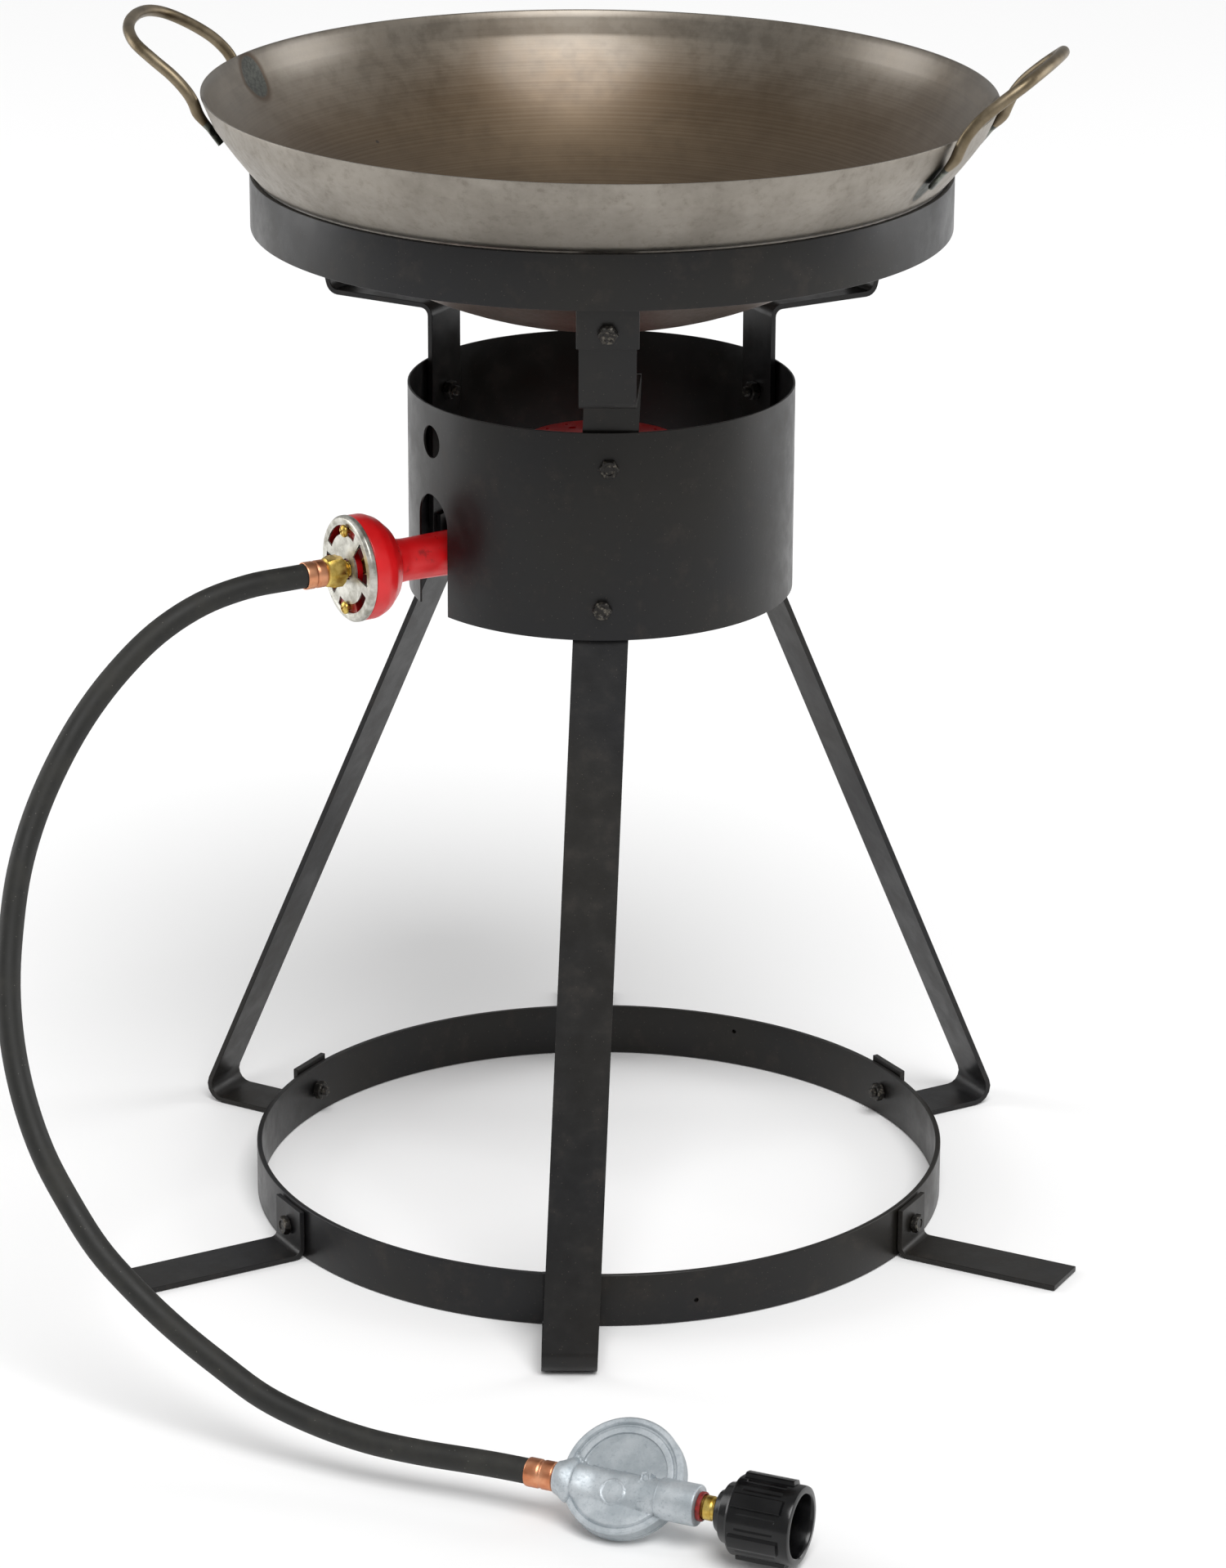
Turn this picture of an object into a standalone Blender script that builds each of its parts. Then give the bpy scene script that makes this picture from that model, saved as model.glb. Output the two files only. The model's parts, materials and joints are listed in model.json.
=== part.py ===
"""Propane burner stand: steel frame, guard, cast burner, gas hose with regulator, and wok.

Sizes are millimetres, turned into metres by MM. Azimuths are degrees from the front (-Y),
positive towards +X. Radii are measured from the stand's upright axis.
"""

import math

import bmesh
import bpy
from mathutils import Matrix, Vector

MM = 0.001
GAP = 0.3                 # clearance between pieces that touch

AXIS_Y = -18.0            # stand axis behind the middle of the footprint
BAR_W = 31.75             # flat bar, 1 1/4 in x 1/8 in
BAR_T = 3.175

# base ring and feet
BASE_R = 208.5
BOLT_Z = 16.6
LEG_TAB_TOP_Z = 34.5
FOOT_TAB_TOP_Z = 30.0
FOOT_END_R = 310.5
FOOT_AZ = {"front_left": -60.5, "front_right": 62.2, "back": -178.2}
LEG_AZ = {"front": 0.0, "left": -120.0, "right": 120.0}
SMALL_HOLE_R = 1.4
SMALL_HOLE_DEPTH = 2.3
SMALL_HOLES = ((15.8, 13.0, "outside"), (155.0, 22.5, "inside"))

# legs
UPRIGHT_R = 107.4
LEG_BEND_Z = 384.0
LEG_SLOPE = 0.4536
FOOT_BEND_R = 9.4
ARM_Z = 540.6
LEG_LEAN = 0.0428         # the front leg leans sideways by this much per unit of height

# ring that carries the wok
RING_R = 202.4
RING_Z0 = 601.8
RING_Z1 = RING_Z0 + BAR_W
TAB_SLOPE = 14.7
TAB_W = 34.5
TAB_R = 196.3
TAB_BEND_Z = 601.0
TAB_Z0 = 578.0
TAB_Z1 = 622.0
RING_BOLT_Z = 588.0

# wind guard
GUARD_R = 112.9
GUARD_T = 1.2
GUARD_Z0 = 384.7
GUARD_Z1 = 507.6
GUARD_BOLTS_Z = {"upper": 487.0, "lower": 403.3}
VENTURI_AZ = -60.0
VENTURI_Z = 418.0

# burner
HEAD_R = 47.2
HEAD_Z = 466.0
CAP_T = 4.2
BRACKET_Z = 393.0
BRACKET_T = 2.6
SHUTTER_Z = 168.5         # distance of the shutter's face from the stand axis
SHUTTER_R = 31.0
SCREW_R = 23.0
SHUTTER_TURN = 20.0       # the shutter stands turned by this angle

# hose and regulator
HOSE_R = 7.0
REG_POS = (-37.0, -443.8, 25.3)
REG_DIR = (0.917, -0.399, 0.0)
REG_TILT = 47.0           # the regulator's face looks up by this angle
DISC_X = 8.0
DISC_Y = -2.0
DISC_Z = 52.4
DISC_R = 33.5
HOSE_ROUTE = (
    (-143, -82.5, 418), (-160.2, -92.5, 418), (-178.4, -103, 418), (-201, -116, 417.2),
    (-226, -130.5, 411.5),
    (-250, -145, 399), (-271, -160, 381), (-289, -175, 360), (-304, -190, 336),
    (-316, -205, 310), (-324, -220, 283), (-328, -234, 254), (-329, -249, 226),
    (-326, -264, 198), (-319, -279, 171), (-308, -294, 145), (-293, -309, 122),
    (-275.5, -325, 100.5), (-254, -340, 82), (-231, -355, 66), (-206.5, -369, 51.5),
    (-182, -383, 39), (-154, -397, 31), (-125, -410, 26.5), (-96, -421, 25),
    (-66, -431.5, 25), (-47, -439.4, 25.3), (-22.8, -450, 25.3), (-5, -457.8, 25.3),
)

# wok
WOK_R = 228.6
WOK_RIM_Z = 678.4
WOK_T = 1.5
WOK_SPHERE_R = 267.7
WOK_CENTRE_Z = 812.8
WOK_CREASE_Z = 663.5
WOK_TILT = 0.5
HANDLE_AZ = {"right": 73.2, "left": -97.2}
HANDLE_RISE = {"right": 8.6, "left": 0.0}    # degrees the loop is bent up past the rim
HANDLE_BEND = (225.4, 676.0)                 # radius and height of that bend
HANDLE_WIRE_R = 3.4
HANDLE_PATH = (
    (210.8, 58.2, 651.0), (217.6, 58.2, 660.0), (222.2, 58.2, 668.0), (225.4, 58.2, 676.0),
    (230.0, 57.5, 682.5), (238.0, 55.5, 690.0), (250.0, 51.0, 698.0), (261.0, 43.0, 704.5),
    (267.5, 30.0, 708.5), (270.5, 15.0, 710.3), (271.3, 0.0, 710.8),
)

STEPS = 64

for old in list(bpy.data.objects):
    bpy.data.objects.remove(old, do_unlink=True)

scene = bpy.context.scene
parts = bpy.data.collections.new("propane_burner_stand")
cutters = bpy.data.collections.new("cutters")
scene.collection.children.link(parts)
scene.collection.children.link(cutters)


def paint(name, colour, metallic, roughness):
    mat = bpy.data.materials.new(name)
    mat.use_nodes = True
    shader = mat.node_tree.nodes["Principled BSDF"]
    shader.inputs["Base Color"].default_value = (*colour, 1.0)
    shader.inputs["Metallic"].default_value = metallic
    shader.inputs["Roughness"].default_value = roughness
    return mat


LOOKS = {
    "black_paint": ((0.03, 0.028, 0.027), 0.1, 0.45),
    "zinc_plate": ((0.55, 0.55, 0.5), 1.0, 0.35),
    "red_paint": ((0.55, 0.01, 0.015), 0.0, 0.35),
    "brass": ((0.6, 0.42, 0.12), 1.0, 0.3),
    "copper": ((0.7, 0.32, 0.18), 1.0, 0.35),
    "rubber": ((0.03, 0.03, 0.028), 0.0, 0.6),
    "cast_zinc": ((0.45, 0.48, 0.5), 0.9, 0.5),
    "nut_plastic": ((0.01, 0.01, 0.01), 0.0, 0.2),
    "red_seal": ((0.35, 0.02, 0.01), 0.0, 0.5),
    "spring_steel": ((0.5, 0.5, 0.5), 1.0, 0.3),
    "wok_steel": ((0.2, 0.18, 0.15), 1.0, 0.4),
    "handle_steel": ((0.3, 0.22, 0.15), 1.0, 0.4),
}


def finish(ob, look, parent, smooth=None):
    """Put a piece in its collection with its own material, parent and shading."""
    ob.data.materials.append(paint(ob.name + "_" + look, *LOOKS[look]))
    ob.parent = parent
    if smooth and ob.type == "MESH":
        for poly in ob.data.polygons:
            poly.use_smooth = True
        ob.data.set_sharp_from_angle(angle=math.radians(smooth))
    return ob


def mesh_object(name, bm, home=None):
    mesh = bpy.data.meshes.new(name)
    bm.to_mesh(mesh)
    bm.free()
    ob = bpy.data.objects.new(name, mesh)
    (home or parts).objects.link(ob)
    return ob


def as_cutter(ob, parent):
    ob.parent = parent
    ob.hide_render = True
    ob.display_type = "WIRE"
    return ob


def boolean(ob, other, operation="DIFFERENCE"):
    mod = ob.modifiers.new(other.name, "BOOLEAN")
    mod.operation = operation
    mod.solver = "EXACT"
    mod.object = other


def empty(name, origin, axes=None, parent=None):
    ob = bpy.data.objects.new(name, None)
    parts.objects.link(ob)
    ob.parent = parent
    ob.location = Vector(origin) * MM
    if axes:
        ob.rotation_euler = Matrix([Vector(a) for a in axes]).transposed().to_euler()
    return ob


def azimuth_dir(az):
    a = math.radians(az)
    return Vector((math.sin(a), -math.cos(a), 0.0))


def spoke(name, az, parent, z=0.0):
    """An empty whose -Y points along an azimuth of the stand."""
    ob = empty(name, (0, 0, z), parent=parent)
    ob.rotation_euler = (0, 0, math.radians(az))
    return ob


def lathe(name, profile, steps=STEPS, closed=True, home=None):
    """Turn a profile of (radius, height) about local Z; it runs down the outside."""
    bm = bmesh.new()
    verts = [bm.verts.new((r * MM, 0, z * MM)) for r, z in profile]
    for a, b in zip(verts, verts[1:]):
        if a.co.x or b.co.x:
            bm.edges.new((a, b))
    if closed:
        bm.edges.new((verts[-1], verts[0]))
    ob = mesh_object(name, bm, home)
    mod = ob.modifiers.new("turn", "SCREW")
    mod.steps = steps
    mod.render_steps = steps
    mod.use_merge_vertices = True
    mod.merge_threshold = 0.00001
    mod.use_smooth_shade = True
    return ob


def drum(bm, radius, z0, z1, sides, turn=0.0, origin=(0, 0, 0)):
    """Add a closed prism about local Z to a mesh."""
    geo = bmesh.ops.create_cone(
        bm, cap_ends=True, segments=sides, radius1=radius * MM, radius2=radius * MM,
        depth=(z1 - z0) * MM,
        matrix=Matrix.Translation(Vector(origin) * MM + Vector((0, 0, (z0 + z1) / 2 * MM)))
        @ Matrix.Rotation(turn, 4, "Z"),
    )
    return geo["verts"]


def box(bm, size, centre, turn=0.0):
    place = Matrix.Rotation(turn, 4, "Z") @ Matrix.Translation(Vector(centre) * MM)
    grow = Matrix.Diagonal((size[0] * MM, size[1] * MM, size[2] * MM, 1.0))
    bmesh.ops.create_cube(bm, size=1.0, matrix=place @ grow)


def radial_cutter(name, az, z, r0, r1, radius, parent, x=0.0, tilt=0.0, sides=16):
    """A cylinder that lies along an azimuth, for bolt holes."""
    bm = bmesh.new()
    drum(bm, radius, 0, r1 - r0, sides)
    ob = mesh_object(name, bm, cutters)
    turn = Matrix.Rotation(math.radians(az), 3, "Z") @ Matrix.Rotation(math.radians(90 - tilt), 3, "X")
    ob.rotation_euler = turn.to_euler()
    start = Vector((x, -r0, z))
    start.rotate(Matrix.Rotation(math.radians(az), 3, "Z"))
    ob.location = start * MM
    return as_cutter(ob, parent)


def rounded(points, radii, arc=6):
    """Round the corners of a path of (r, z, x) points."""
    out = [Vector(points[0])]
    for i in range(1, len(points) - 1):
        p = Vector(points[i])
        a = Vector(points[i - 1]) - p
        b = Vector(points[i + 1]) - p
        half = a.angle(b) / 2
        reach = radii[i - 1] / math.tan(half)
        p0 = p + a.normalized() * reach
        p1 = p + b.normalized() * reach
        centre = p + (a.normalized() + b.normalized()).normalized() * (radii[i - 1] / math.sin(half))
        for k in range(arc + 1):
            swing = (p0 - centre).normalized().slerp((p1 - centre).normalized(), k / arc)
            out.append(centre + swing * radii[i - 1])
    out.append(Vector(points[-1]))
    return out


def bar(name, path, width, thickness, parent, look="black_paint"):
    """A bent flat bar: (r, z, x) centre line, width across, even thickness."""
    bm = bmesh.new()
    rows = []
    for r, z, x in path:
        rows.append([
            bm.verts.new(((x - width / 2) * MM, -r * MM, z * MM)),
            bm.verts.new(((x + width / 2) * MM, -r * MM, z * MM)),
        ])
    for low, high in zip(rows, rows[1:]):
        bm.faces.new((low[0], low[1], high[1], high[0]))
    ob = mesh_object(name, bm)
    mod = ob.modifiers.new("plate", "SOLIDIFY")
    mod.thickness = thickness * MM
    mod.offset = 0
    mod.use_even_offset = True
    return finish(ob, look, parent)


def bolt(name, az, z, r_head, r_nut, parent, x=0.0, tilt=0.0, sides=6):
    """A hexagon bolt with its nut; the head's seat is at r_head, the nut's at r_nut."""
    head, nut, shank, tail = 4.0, 5.0, 3.0, 3.0
    across = 5.77
    length = r_head - r_nut
    stations = (
        (across, head), (across, 0.0), (shank, 0.0), (shank, -length),
        (across, -length), (across, -length - nut), (shank, -length - nut),
        (shank, -length - nut - tail),
    )
    bm = bmesh.new()
    rows = []
    for radius, height in stations:
        row = []
        for k in range(sides):
            a = math.tau * k / sides
            row.append(bm.verts.new(
                (radius * MM * math.cos(a), radius * MM * math.sin(a), height * MM)))
        rows.append(row)
    for top, low in zip(rows, rows[1:]):
        for k in range(sides):
            n = (k + 1) % sides
            bm.faces.new((top[k], low[k], low[n], top[n]))
    bm.faces.new(rows[0])
    bm.faces.new(list(reversed(rows[-1])))
    bmesh.ops.recalc_face_normals(bm, faces=bm.faces)
    ob = mesh_object(name, bm)
    turn = Matrix.Rotation(math.radians(az), 3, "Z") @ Matrix.Rotation(math.radians(90 - tilt), 3, "X")
    ob.rotation_euler = turn.to_euler()
    start = Vector((x, -r_head, z))
    start.rotate(Matrix.Rotation(math.radians(az), 3, "Z"))
    ob.location = start * MM
    return finish(ob, "zinc_plate", parent)


def arc_points(centre, radius, a0, a1, count):
    out = []
    for k in range(count + 1):
        a = math.radians(a0 + (a1 - a0) * k / count)
        out.append((centre[0] + radius * math.cos(a), centre[1] + radius * math.sin(a)))
    return out


def sector_cutter(name, r0, r1, angle, half, z0, z1, parent, count=6):
    """A prism shaped like a part of a ring, for slots and windows."""
    bm = bmesh.new()
    outline = arc_points((0, 0), r1, angle - half, angle + half, count)
    outline += arc_points((0, 0), r0, angle + half, angle - half, count)
    face = bm.faces.new([bm.verts.new((x * MM, y * MM, z0 * MM)) for x, y in outline])
    grown = bmesh.ops.extrude_face_region(bm, geom=[face])
    moved = [g for g in grown["geom"] if isinstance(g, bmesh.types.BMVert)]
    bmesh.ops.translate(bm, verts=moved, vec=(0, 0, (z1 - z0) * MM))
    bmesh.ops.recalc_face_normals(bm, faces=bm.faces)
    return as_cutter(mesh_object(name, bm, cutters), parent)


def tube(name, points, radius, parent, look, sides=8):
    """A round bar along a list of points, with closed ends."""
    curve = bpy.data.curves.new(name, "CURVE")
    curve.dimensions = "3D"
    curve.bevel_depth = radius * MM
    curve.bevel_resolution = max(0, sides // 2 - 2)
    curve.use_fill_caps = True
    spline = curve.splines.new("POLY")
    spline.points.add(len(points) - 1)
    for point, co in zip(spline.points, points):
        point.co = (*(Vector(co) * MM), 1.0)
    ob = bpy.data.objects.new(name, curve)
    parts.objects.link(ob)
    return finish(ob, look, parent)


def smooth_route(points, per_span):
    """Catmull-Rom points through a hand-laid route."""
    pts = [Vector(p) for p in points]
    out = []
    for i in range(1, len(pts) - 2):
        p0, p1, p2, p3 = pts[i - 1:i + 3]
        for k in range(per_span):
            t = k / per_span
            out.append(0.5 * (
                2 * p1 + (p2 - p0) * t
                + (2 * p0 - 5 * p1 + 4 * p2 - p3) * t ** 2
                + (3 * p1 - p0 - 3 * p2 + p3) * t ** 3
            ))
    out.append(pts[-2])
    return out


stand = empty("stand_axis", (0, AXIS_Y, 0))

# ---------------------------------------------------------------- base ring and feet
base_ring = finish(lathe("base_ring", (
    (BASE_R, BAR_W), (BASE_R, 0), (BASE_R - BAR_T, 0), (BASE_R - BAR_T, BAR_W),
)), "black_paint", stand)
tab_r = BASE_R + GAP + BAR_T / 2
head_r = BASE_R + GAP + BAR_T + GAP
nut_r = BASE_R - BAR_T - 2 * GAP
FOOT_Z = BAR_T / 2


def base_fixing(label, az, x, piece):
    """The bolt that holds one foot tab to the base ring, and its holes."""
    hole = radial_cutter("hole_base_" + label, az, BOLT_Z, BASE_R - 12, BASE_R + 12, 3.4, stand, x=x)
    boolean(piece, hole)
    boolean(base_ring, hole)
    bolt("base_bolt_" + label, az, BOLT_Z, head_r, nut_r - abs(x) * 0.09, stand, x=x)


for label, az in FOOT_AZ.items():
    line = spoke("foot_line_" + label, az, stand)
    path = rounded(
        ((FOOT_END_R, FOOT_Z, 0), (tab_r, FOOT_Z, 0), (tab_r, FOOT_TAB_TOP_Z, 0)), (5.0,), 4)
    foot = bar("foot_" + label, path, BAR_W, BAR_T, line)
    base_fixing(label, az, 0.0, foot)
for i, (az, z, face) in enumerate(SMALL_HOLES):
    if face == "outside":
        reach = (BASE_R - SMALL_HOLE_DEPTH, BASE_R + 8)
    else:
        reach = (BASE_R - BAR_T - 8, BASE_R - BAR_T + SMALL_HOLE_DEPTH)
    boolean(base_ring, radial_cutter(
        "small_hole_%d" % i, az, z, *reach, SMALL_HOLE_R, stand, sides=10))

# ---------------------------------------------------------------- ring under the wok
finish(lathe("wok_ring", (
    (RING_R, RING_Z1), (RING_R, RING_Z0), (RING_R - BAR_T, RING_Z0), (RING_R - BAR_T, RING_Z1),
)), "black_paint", stand)
slope = math.tan(math.radians(TAB_SLOPE))
lean_out = math.cos(math.radians(TAB_SLOPE))
LEG_TOP_R = TAB_R - (BAR_T + GAP) / lean_out

# ---------------------------------------------------------------- wind guard
guard = finish(lathe("wind_guard", (
    (GUARD_R, GUARD_Z1), (GUARD_R, GUARD_Z0),
    (GUARD_R - GUARD_T, GUARD_Z0), (GUARD_R - GUARD_T, GUARD_Z1),
)), "black_paint", stand)
boolean(guard, radial_cutter(
    "light_hole", VENTURI_AZ, 486.0, GUARD_R - 15, GUARD_R + 8, 9.6, stand, sides=24))
bm = bmesh.new()
NOTCH_HALF = 16.8
NOTCH_TOP = 454.5
outline = [(NOTCH_HALF, GUARD_Z0 - 10)]
outline += arc_points((0, NOTCH_TOP - NOTCH_HALF), NOTCH_HALF, 0, 180, 12)
outline += [(-NOTCH_HALF, GUARD_Z0 - 10)]
face = bm.faces.new([bm.verts.new((x * MM, -(GUARD_R - 15) * MM, z * MM)) for x, z in outline])
grown = bmesh.ops.extrude_face_region(bm, geom=[face])
moved = [g for g in grown["geom"] if isinstance(g, bmesh.types.BMVert)]
bmesh.ops.translate(bm, verts=moved, vec=(0, -25 * MM, 0))
bmesh.ops.recalc_face_normals(bm, faces=bm.faces)
notch = mesh_object("notch", bm, cutters)
notch.rotation_euler = (0, 0, math.radians(VENTURI_AZ))
boolean(guard, as_cutter(notch, stand))

# ---------------------------------------------------------------- legs
FOOT_CORNER_R = UPRIGHT_R + (LEG_BEND_Z - FOOT_Z) * LEG_SLOPE
TAB_IN_R = UPRIGHT_R - BAR_T / 2 - GAP - BRACKET_T / 2

for label, az in LEG_AZ.items():
    lean = LEG_LEAN if label == "front" else 0.0
    line = spoke("leg_line_" + label, az, stand)

    def side(z):
        return lean * (min(z, ARM_Z) - LEG_BEND_Z)

    top_x = side(ARM_Z) / 2
    path = rounded((
        (LEG_TOP_R - (TAB_BEND_Z - 597.5) * slope, 597.5, top_x),
        (LEG_TOP_R - (TAB_BEND_Z - ARM_Z) * slope, ARM_Z, top_x),
        (UPRIGHT_R, ARM_Z, side(ARM_Z)),
        (UPRIGHT_R, LEG_BEND_Z, 0.0),
        (FOOT_CORNER_R, FOOT_Z, side(FOOT_Z)),
        (tab_r, FOOT_Z, side(FOOT_Z)),
        (tab_r, LEG_TAB_TOP_Z, side(FOOT_Z)),
    ), (6.5, 6.0, 6.0, FOOT_BEND_R, 5.0), 5)
    leg = bar("leg_" + label, path, BAR_W, BAR_T, line)
    base_fixing("leg_" + label, az, side(FOOT_Z), leg)

    tab = bar("ring_tab_" + label, (
        (TAB_R, TAB_Z1, top_x), (TAB_R, TAB_BEND_Z, top_x),
        (TAB_R - (TAB_BEND_Z - TAB_Z0) * slope, TAB_Z0, top_x),
    ), TAB_W, BAR_T, line)
    mid_r = TAB_R - (TAB_BEND_Z - RING_BOLT_Z) * slope
    hole = radial_cutter("hole_ring_" + label, az, RING_BOLT_Z, mid_r, mid_r + 24, 3.4,
                         stand, x=top_x, tilt=-TAB_SLOPE)
    hole.location -= (azimuth_dir(az) * lean_out - Vector((0, 0, math.sin(math.radians(TAB_SLOPE))))) * 12 * MM
    boolean(tab, hole)
    boolean(leg, hole)
    half_t = BAR_T / 2 + GAP
    seat_r = mid_r + half_t * lean_out
    seat_z = RING_BOLT_Z - half_t * math.sin(math.radians(TAB_SLOPE))
    bolt("ring_bolt_" + label, az, seat_z, seat_r, seat_r - 2 * BAR_T - 3 * GAP, stand,
         x=top_x, tilt=-TAB_SLOPE)

    for level, z in GUARD_BOLTS_Z.items():
        hole = radial_cutter("hole_guard_%s_%s" % (level, label), az, z,
                             UPRIGHT_R - 12, GUARD_R + 6, 3.4, stand, x=side(z))
        boolean(guard, hole)
        boolean(leg, hole)
        inner = UPRIGHT_R - BAR_T / 2 - GAP
        if level == "lower":
            inner = TAB_IN_R - BRACKET_T / 2 - GAP
        bolt("guard_bolt_%s_%s" % (level, label), az, z, GUARD_R + GAP, inner, stand, x=side(z))

# ---------------------------------------------------------------- burner
BRACKET_W = 25.0
bracket = None
BRACKET_MID = BRACKET_Z + BRACKET_T / 2
for label, az in LEG_AZ.items():
    line = spoke("bracket_line_" + label, az, stand)
    path = rounded(((0.0 if bracket is None else 12.0, BRACKET_MID, 0), (TAB_IN_R, BRACKET_MID, 0),
                    (TAB_IN_R, 413.0, 0)), (4.0,), 4)
    arm = bar("burner_bracket" if bracket is None else "bracket_arm_" + label,
              path, BRACKET_W, BRACKET_T, line)
    if bracket is None:
        bracket = arm
    else:
        parts.objects.unlink(arm)
        cutters.objects.link(arm)
        as_cutter(arm, line)
        boolean(bracket, arm, "UNION")
    shift = LEG_LEAN * (GUARD_BOLTS_Z["lower"] - LEG_BEND_Z) if label == "front" else 0.0
    boolean(bracket if arm is bracket else arm, radial_cutter(
        "hole_bracket_" + label, az, GUARD_BOLTS_Z["lower"], TAB_IN_R - 8, TAB_IN_R + 8, 3.4,
        stand, x=shift))
bm = bmesh.new()
drum(bm, 26.0, BRACKET_Z - 0.25, BRACKET_Z + BRACKET_T + 0.25, 32)
hub = as_cutter(mesh_object("bracket_hub", bm, cutters), stand)
boolean(bracket, hub, "UNION")
bm = bmesh.new()
drum(bm, 4.4, BRACKET_Z - 8, BRACKET_Z + 30, 16)
through = as_cutter(mesh_object("through_hole", bm, cutters), stand)
boolean(bracket, through)

venturi_dir = azimuth_dir(VENTURI_AZ)
across_dir = Vector((math.cos(math.radians(VENTURI_AZ)), math.sin(math.radians(VENTURI_AZ)), 0))
venturi = empty("venturi_axis", (0, 0, VENTURI_Z), (across_dir, (0, 0, 1), venturi_dir), stand)

BOWL_Z = BRACKET_Z + BRACKET_T + 0.25 + GAP
body = finish(lathe("burner_body", (
    (0, HEAD_Z), (HEAD_R, HEAD_Z), (HEAD_R, HEAD_Z - 8), (40, HEAD_Z - 22), (30, 432),
    (24, 415), (22, BOWL_Z), (0, BOWL_Z),
), 32, closed=False), "red_paint", stand, 35)
MOUTH_Z = 167.0
BELL_Z = 164.0
horn = as_cutter(lathe("horn", (
    (0, MOUTH_Z), (29.2, MOUTH_Z), (29.2, BELL_Z), (30.6, BELL_Z), (30.6, 154.0),
    (28.6, 149.0), (22.0, 142.5), (13.4, 136.0), (12.4, 132.0), (13.6, 70.0), (14.5, 20.0),
    (0, 20.0),
), 24, closed=False, home=cutters), venturi)
boolean(body, horn, "UNION")
bowl_inside = as_cutter(lathe("bowl_inside", (
    (0, HEAD_Z + 5), (HEAD_R - 5, HEAD_Z + 5), (HEAD_R - 5, HEAD_Z - 8), (35.5, HEAD_Z - 20),
    (26, 433), (19.5, 416), (18, BOWL_Z + 5), (0, BOWL_Z + 5),
), 28, closed=False, home=cutters), stand)
boolean(body, bowl_inside)
horn_inside = as_cutter(lathe("horn_inside", (
    (0, MOUTH_Z - 4.0), (26.8, MOUTH_Z - 4.0), (26.8, 154.5), (24.5, 150.5), (18.5, 144.0),
    (9.8, 137.0), (9.2, 132.0), (10.6, 70.0), (11.0, 10.0), (0, 10.0),
), 20, closed=False, home=cutters), venturi)
boolean(body, horn_inside)
for i, angle in enumerate((0, 180)):
    boolean(body, sector_cutter("mouth_window_%d" % i, 10.5, 25.8, angle, 66,
                                MOUTH_Z - 8, MOUTH_Z + 3, venturi, 7))
bm = bmesh.new()
drum(bm, 4.8, MOUTH_Z - 8, MOUTH_Z + 3, 16)
for height in (SCREW_R, -SCREW_R):
    drum(bm, 1.95, MOUTH_Z - 8, MOUTH_Z + 3, 10, origin=(0, height, 0))
boolean(body, as_cutter(mesh_object("mouth_bores", bm, cutters), venturi))
boolean(body, through)

cap = finish(lathe("burner_cap", (
    (HEAD_R, HEAD_Z + CAP_T), (HEAD_R, HEAD_Z + GAP), (4.4, HEAD_Z + GAP), (4.4, HEAD_Z + CAP_T),
), 32), "red_paint", stand, 35)
bm = bmesh.new()
for k in range(12):
    a = math.tau * k / 12
    drum(bm, 2.2, HEAD_Z - 5, HEAD_Z + 12, 6, origin=(34 * math.cos(a), 34 * math.sin(a), 0))
boolean(cap, as_cutter(mesh_object("cap_ports", bm, cutters), stand))

BOLT_TOP = HEAD_Z + CAP_T + GAP
NUT_TOP = BRACKET_Z - 0.25 - GAP
finish(lathe("burner_bolt", (
    (0, BOLT_TOP + 5), (7.0, BOLT_TOP + 5), (7.0, BOLT_TOP), (4.0, BOLT_TOP), (4.0, NUT_TOP),
    (7.0, NUT_TOP), (7.0, NUT_TOP - 6), (4.0, NUT_TOP - 6), (4.0, NUT_TOP - 9), (0, NUT_TOP - 9),
), 12, closed=False), "zinc_plate", stand)

# ---------------------------------------------------------------- air shutter and gas fitting
shutter_axis = empty("shutter_axis", (0, 0, 0), parent=venturi)
shutter_axis.rotation_euler = (0, 0, math.radians(SHUTTER_TURN))
shutter = finish(lathe("air_shutter", (
    (SHUTTER_R - 1.2, SHUTTER_Z), (SHUTTER_R, SHUTTER_Z - 1.2), (SHUTTER_R, BELL_Z + GAP),
    (SHUTTER_R - 1.3, BELL_Z + GAP), (SHUTTER_R - 1.3, SHUTTER_Z - 1.2),
    (6.0, SHUTTER_Z - 1.2), (6.0, SHUTTER_Z),
), 32), "zinc_plate", shutter_axis, 35)
for i, angle in enumerate((90, 270)):
    boolean(shutter, sector_cutter("slot_%d" % i, 20.3, 25.7, angle, 45,
                                   SHUTTER_Z - 3, SHUTTER_Z + 3, shutter_axis, 6))
for i, angle in enumerate((0, 180)):
    boolean(shutter, sector_cutter("air_window_%d" % i, 12.0, 25.0, angle, 30,
                                   SHUTTER_Z - 3, SHUTTER_Z + 3, shutter_axis, 4))
for label, height in (("upper", SCREW_R), ("lower", -SCREW_R)):
    screw = finish(lathe("shutter_screw_" + label, (
        (0, SHUTTER_Z + 3.0), (3.0, SHUTTER_Z + 2.6), (3.7, SHUTTER_Z + 1.6),
        (3.7, SHUTTER_Z + GAP), (1.75, SHUTTER_Z + GAP), (1.75, MOUTH_Z - 6), (0, MOUTH_Z - 6),
    ), 12, closed=False), "brass", venturi, 35)
    screw.location = (0, height * MM, 0)

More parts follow.
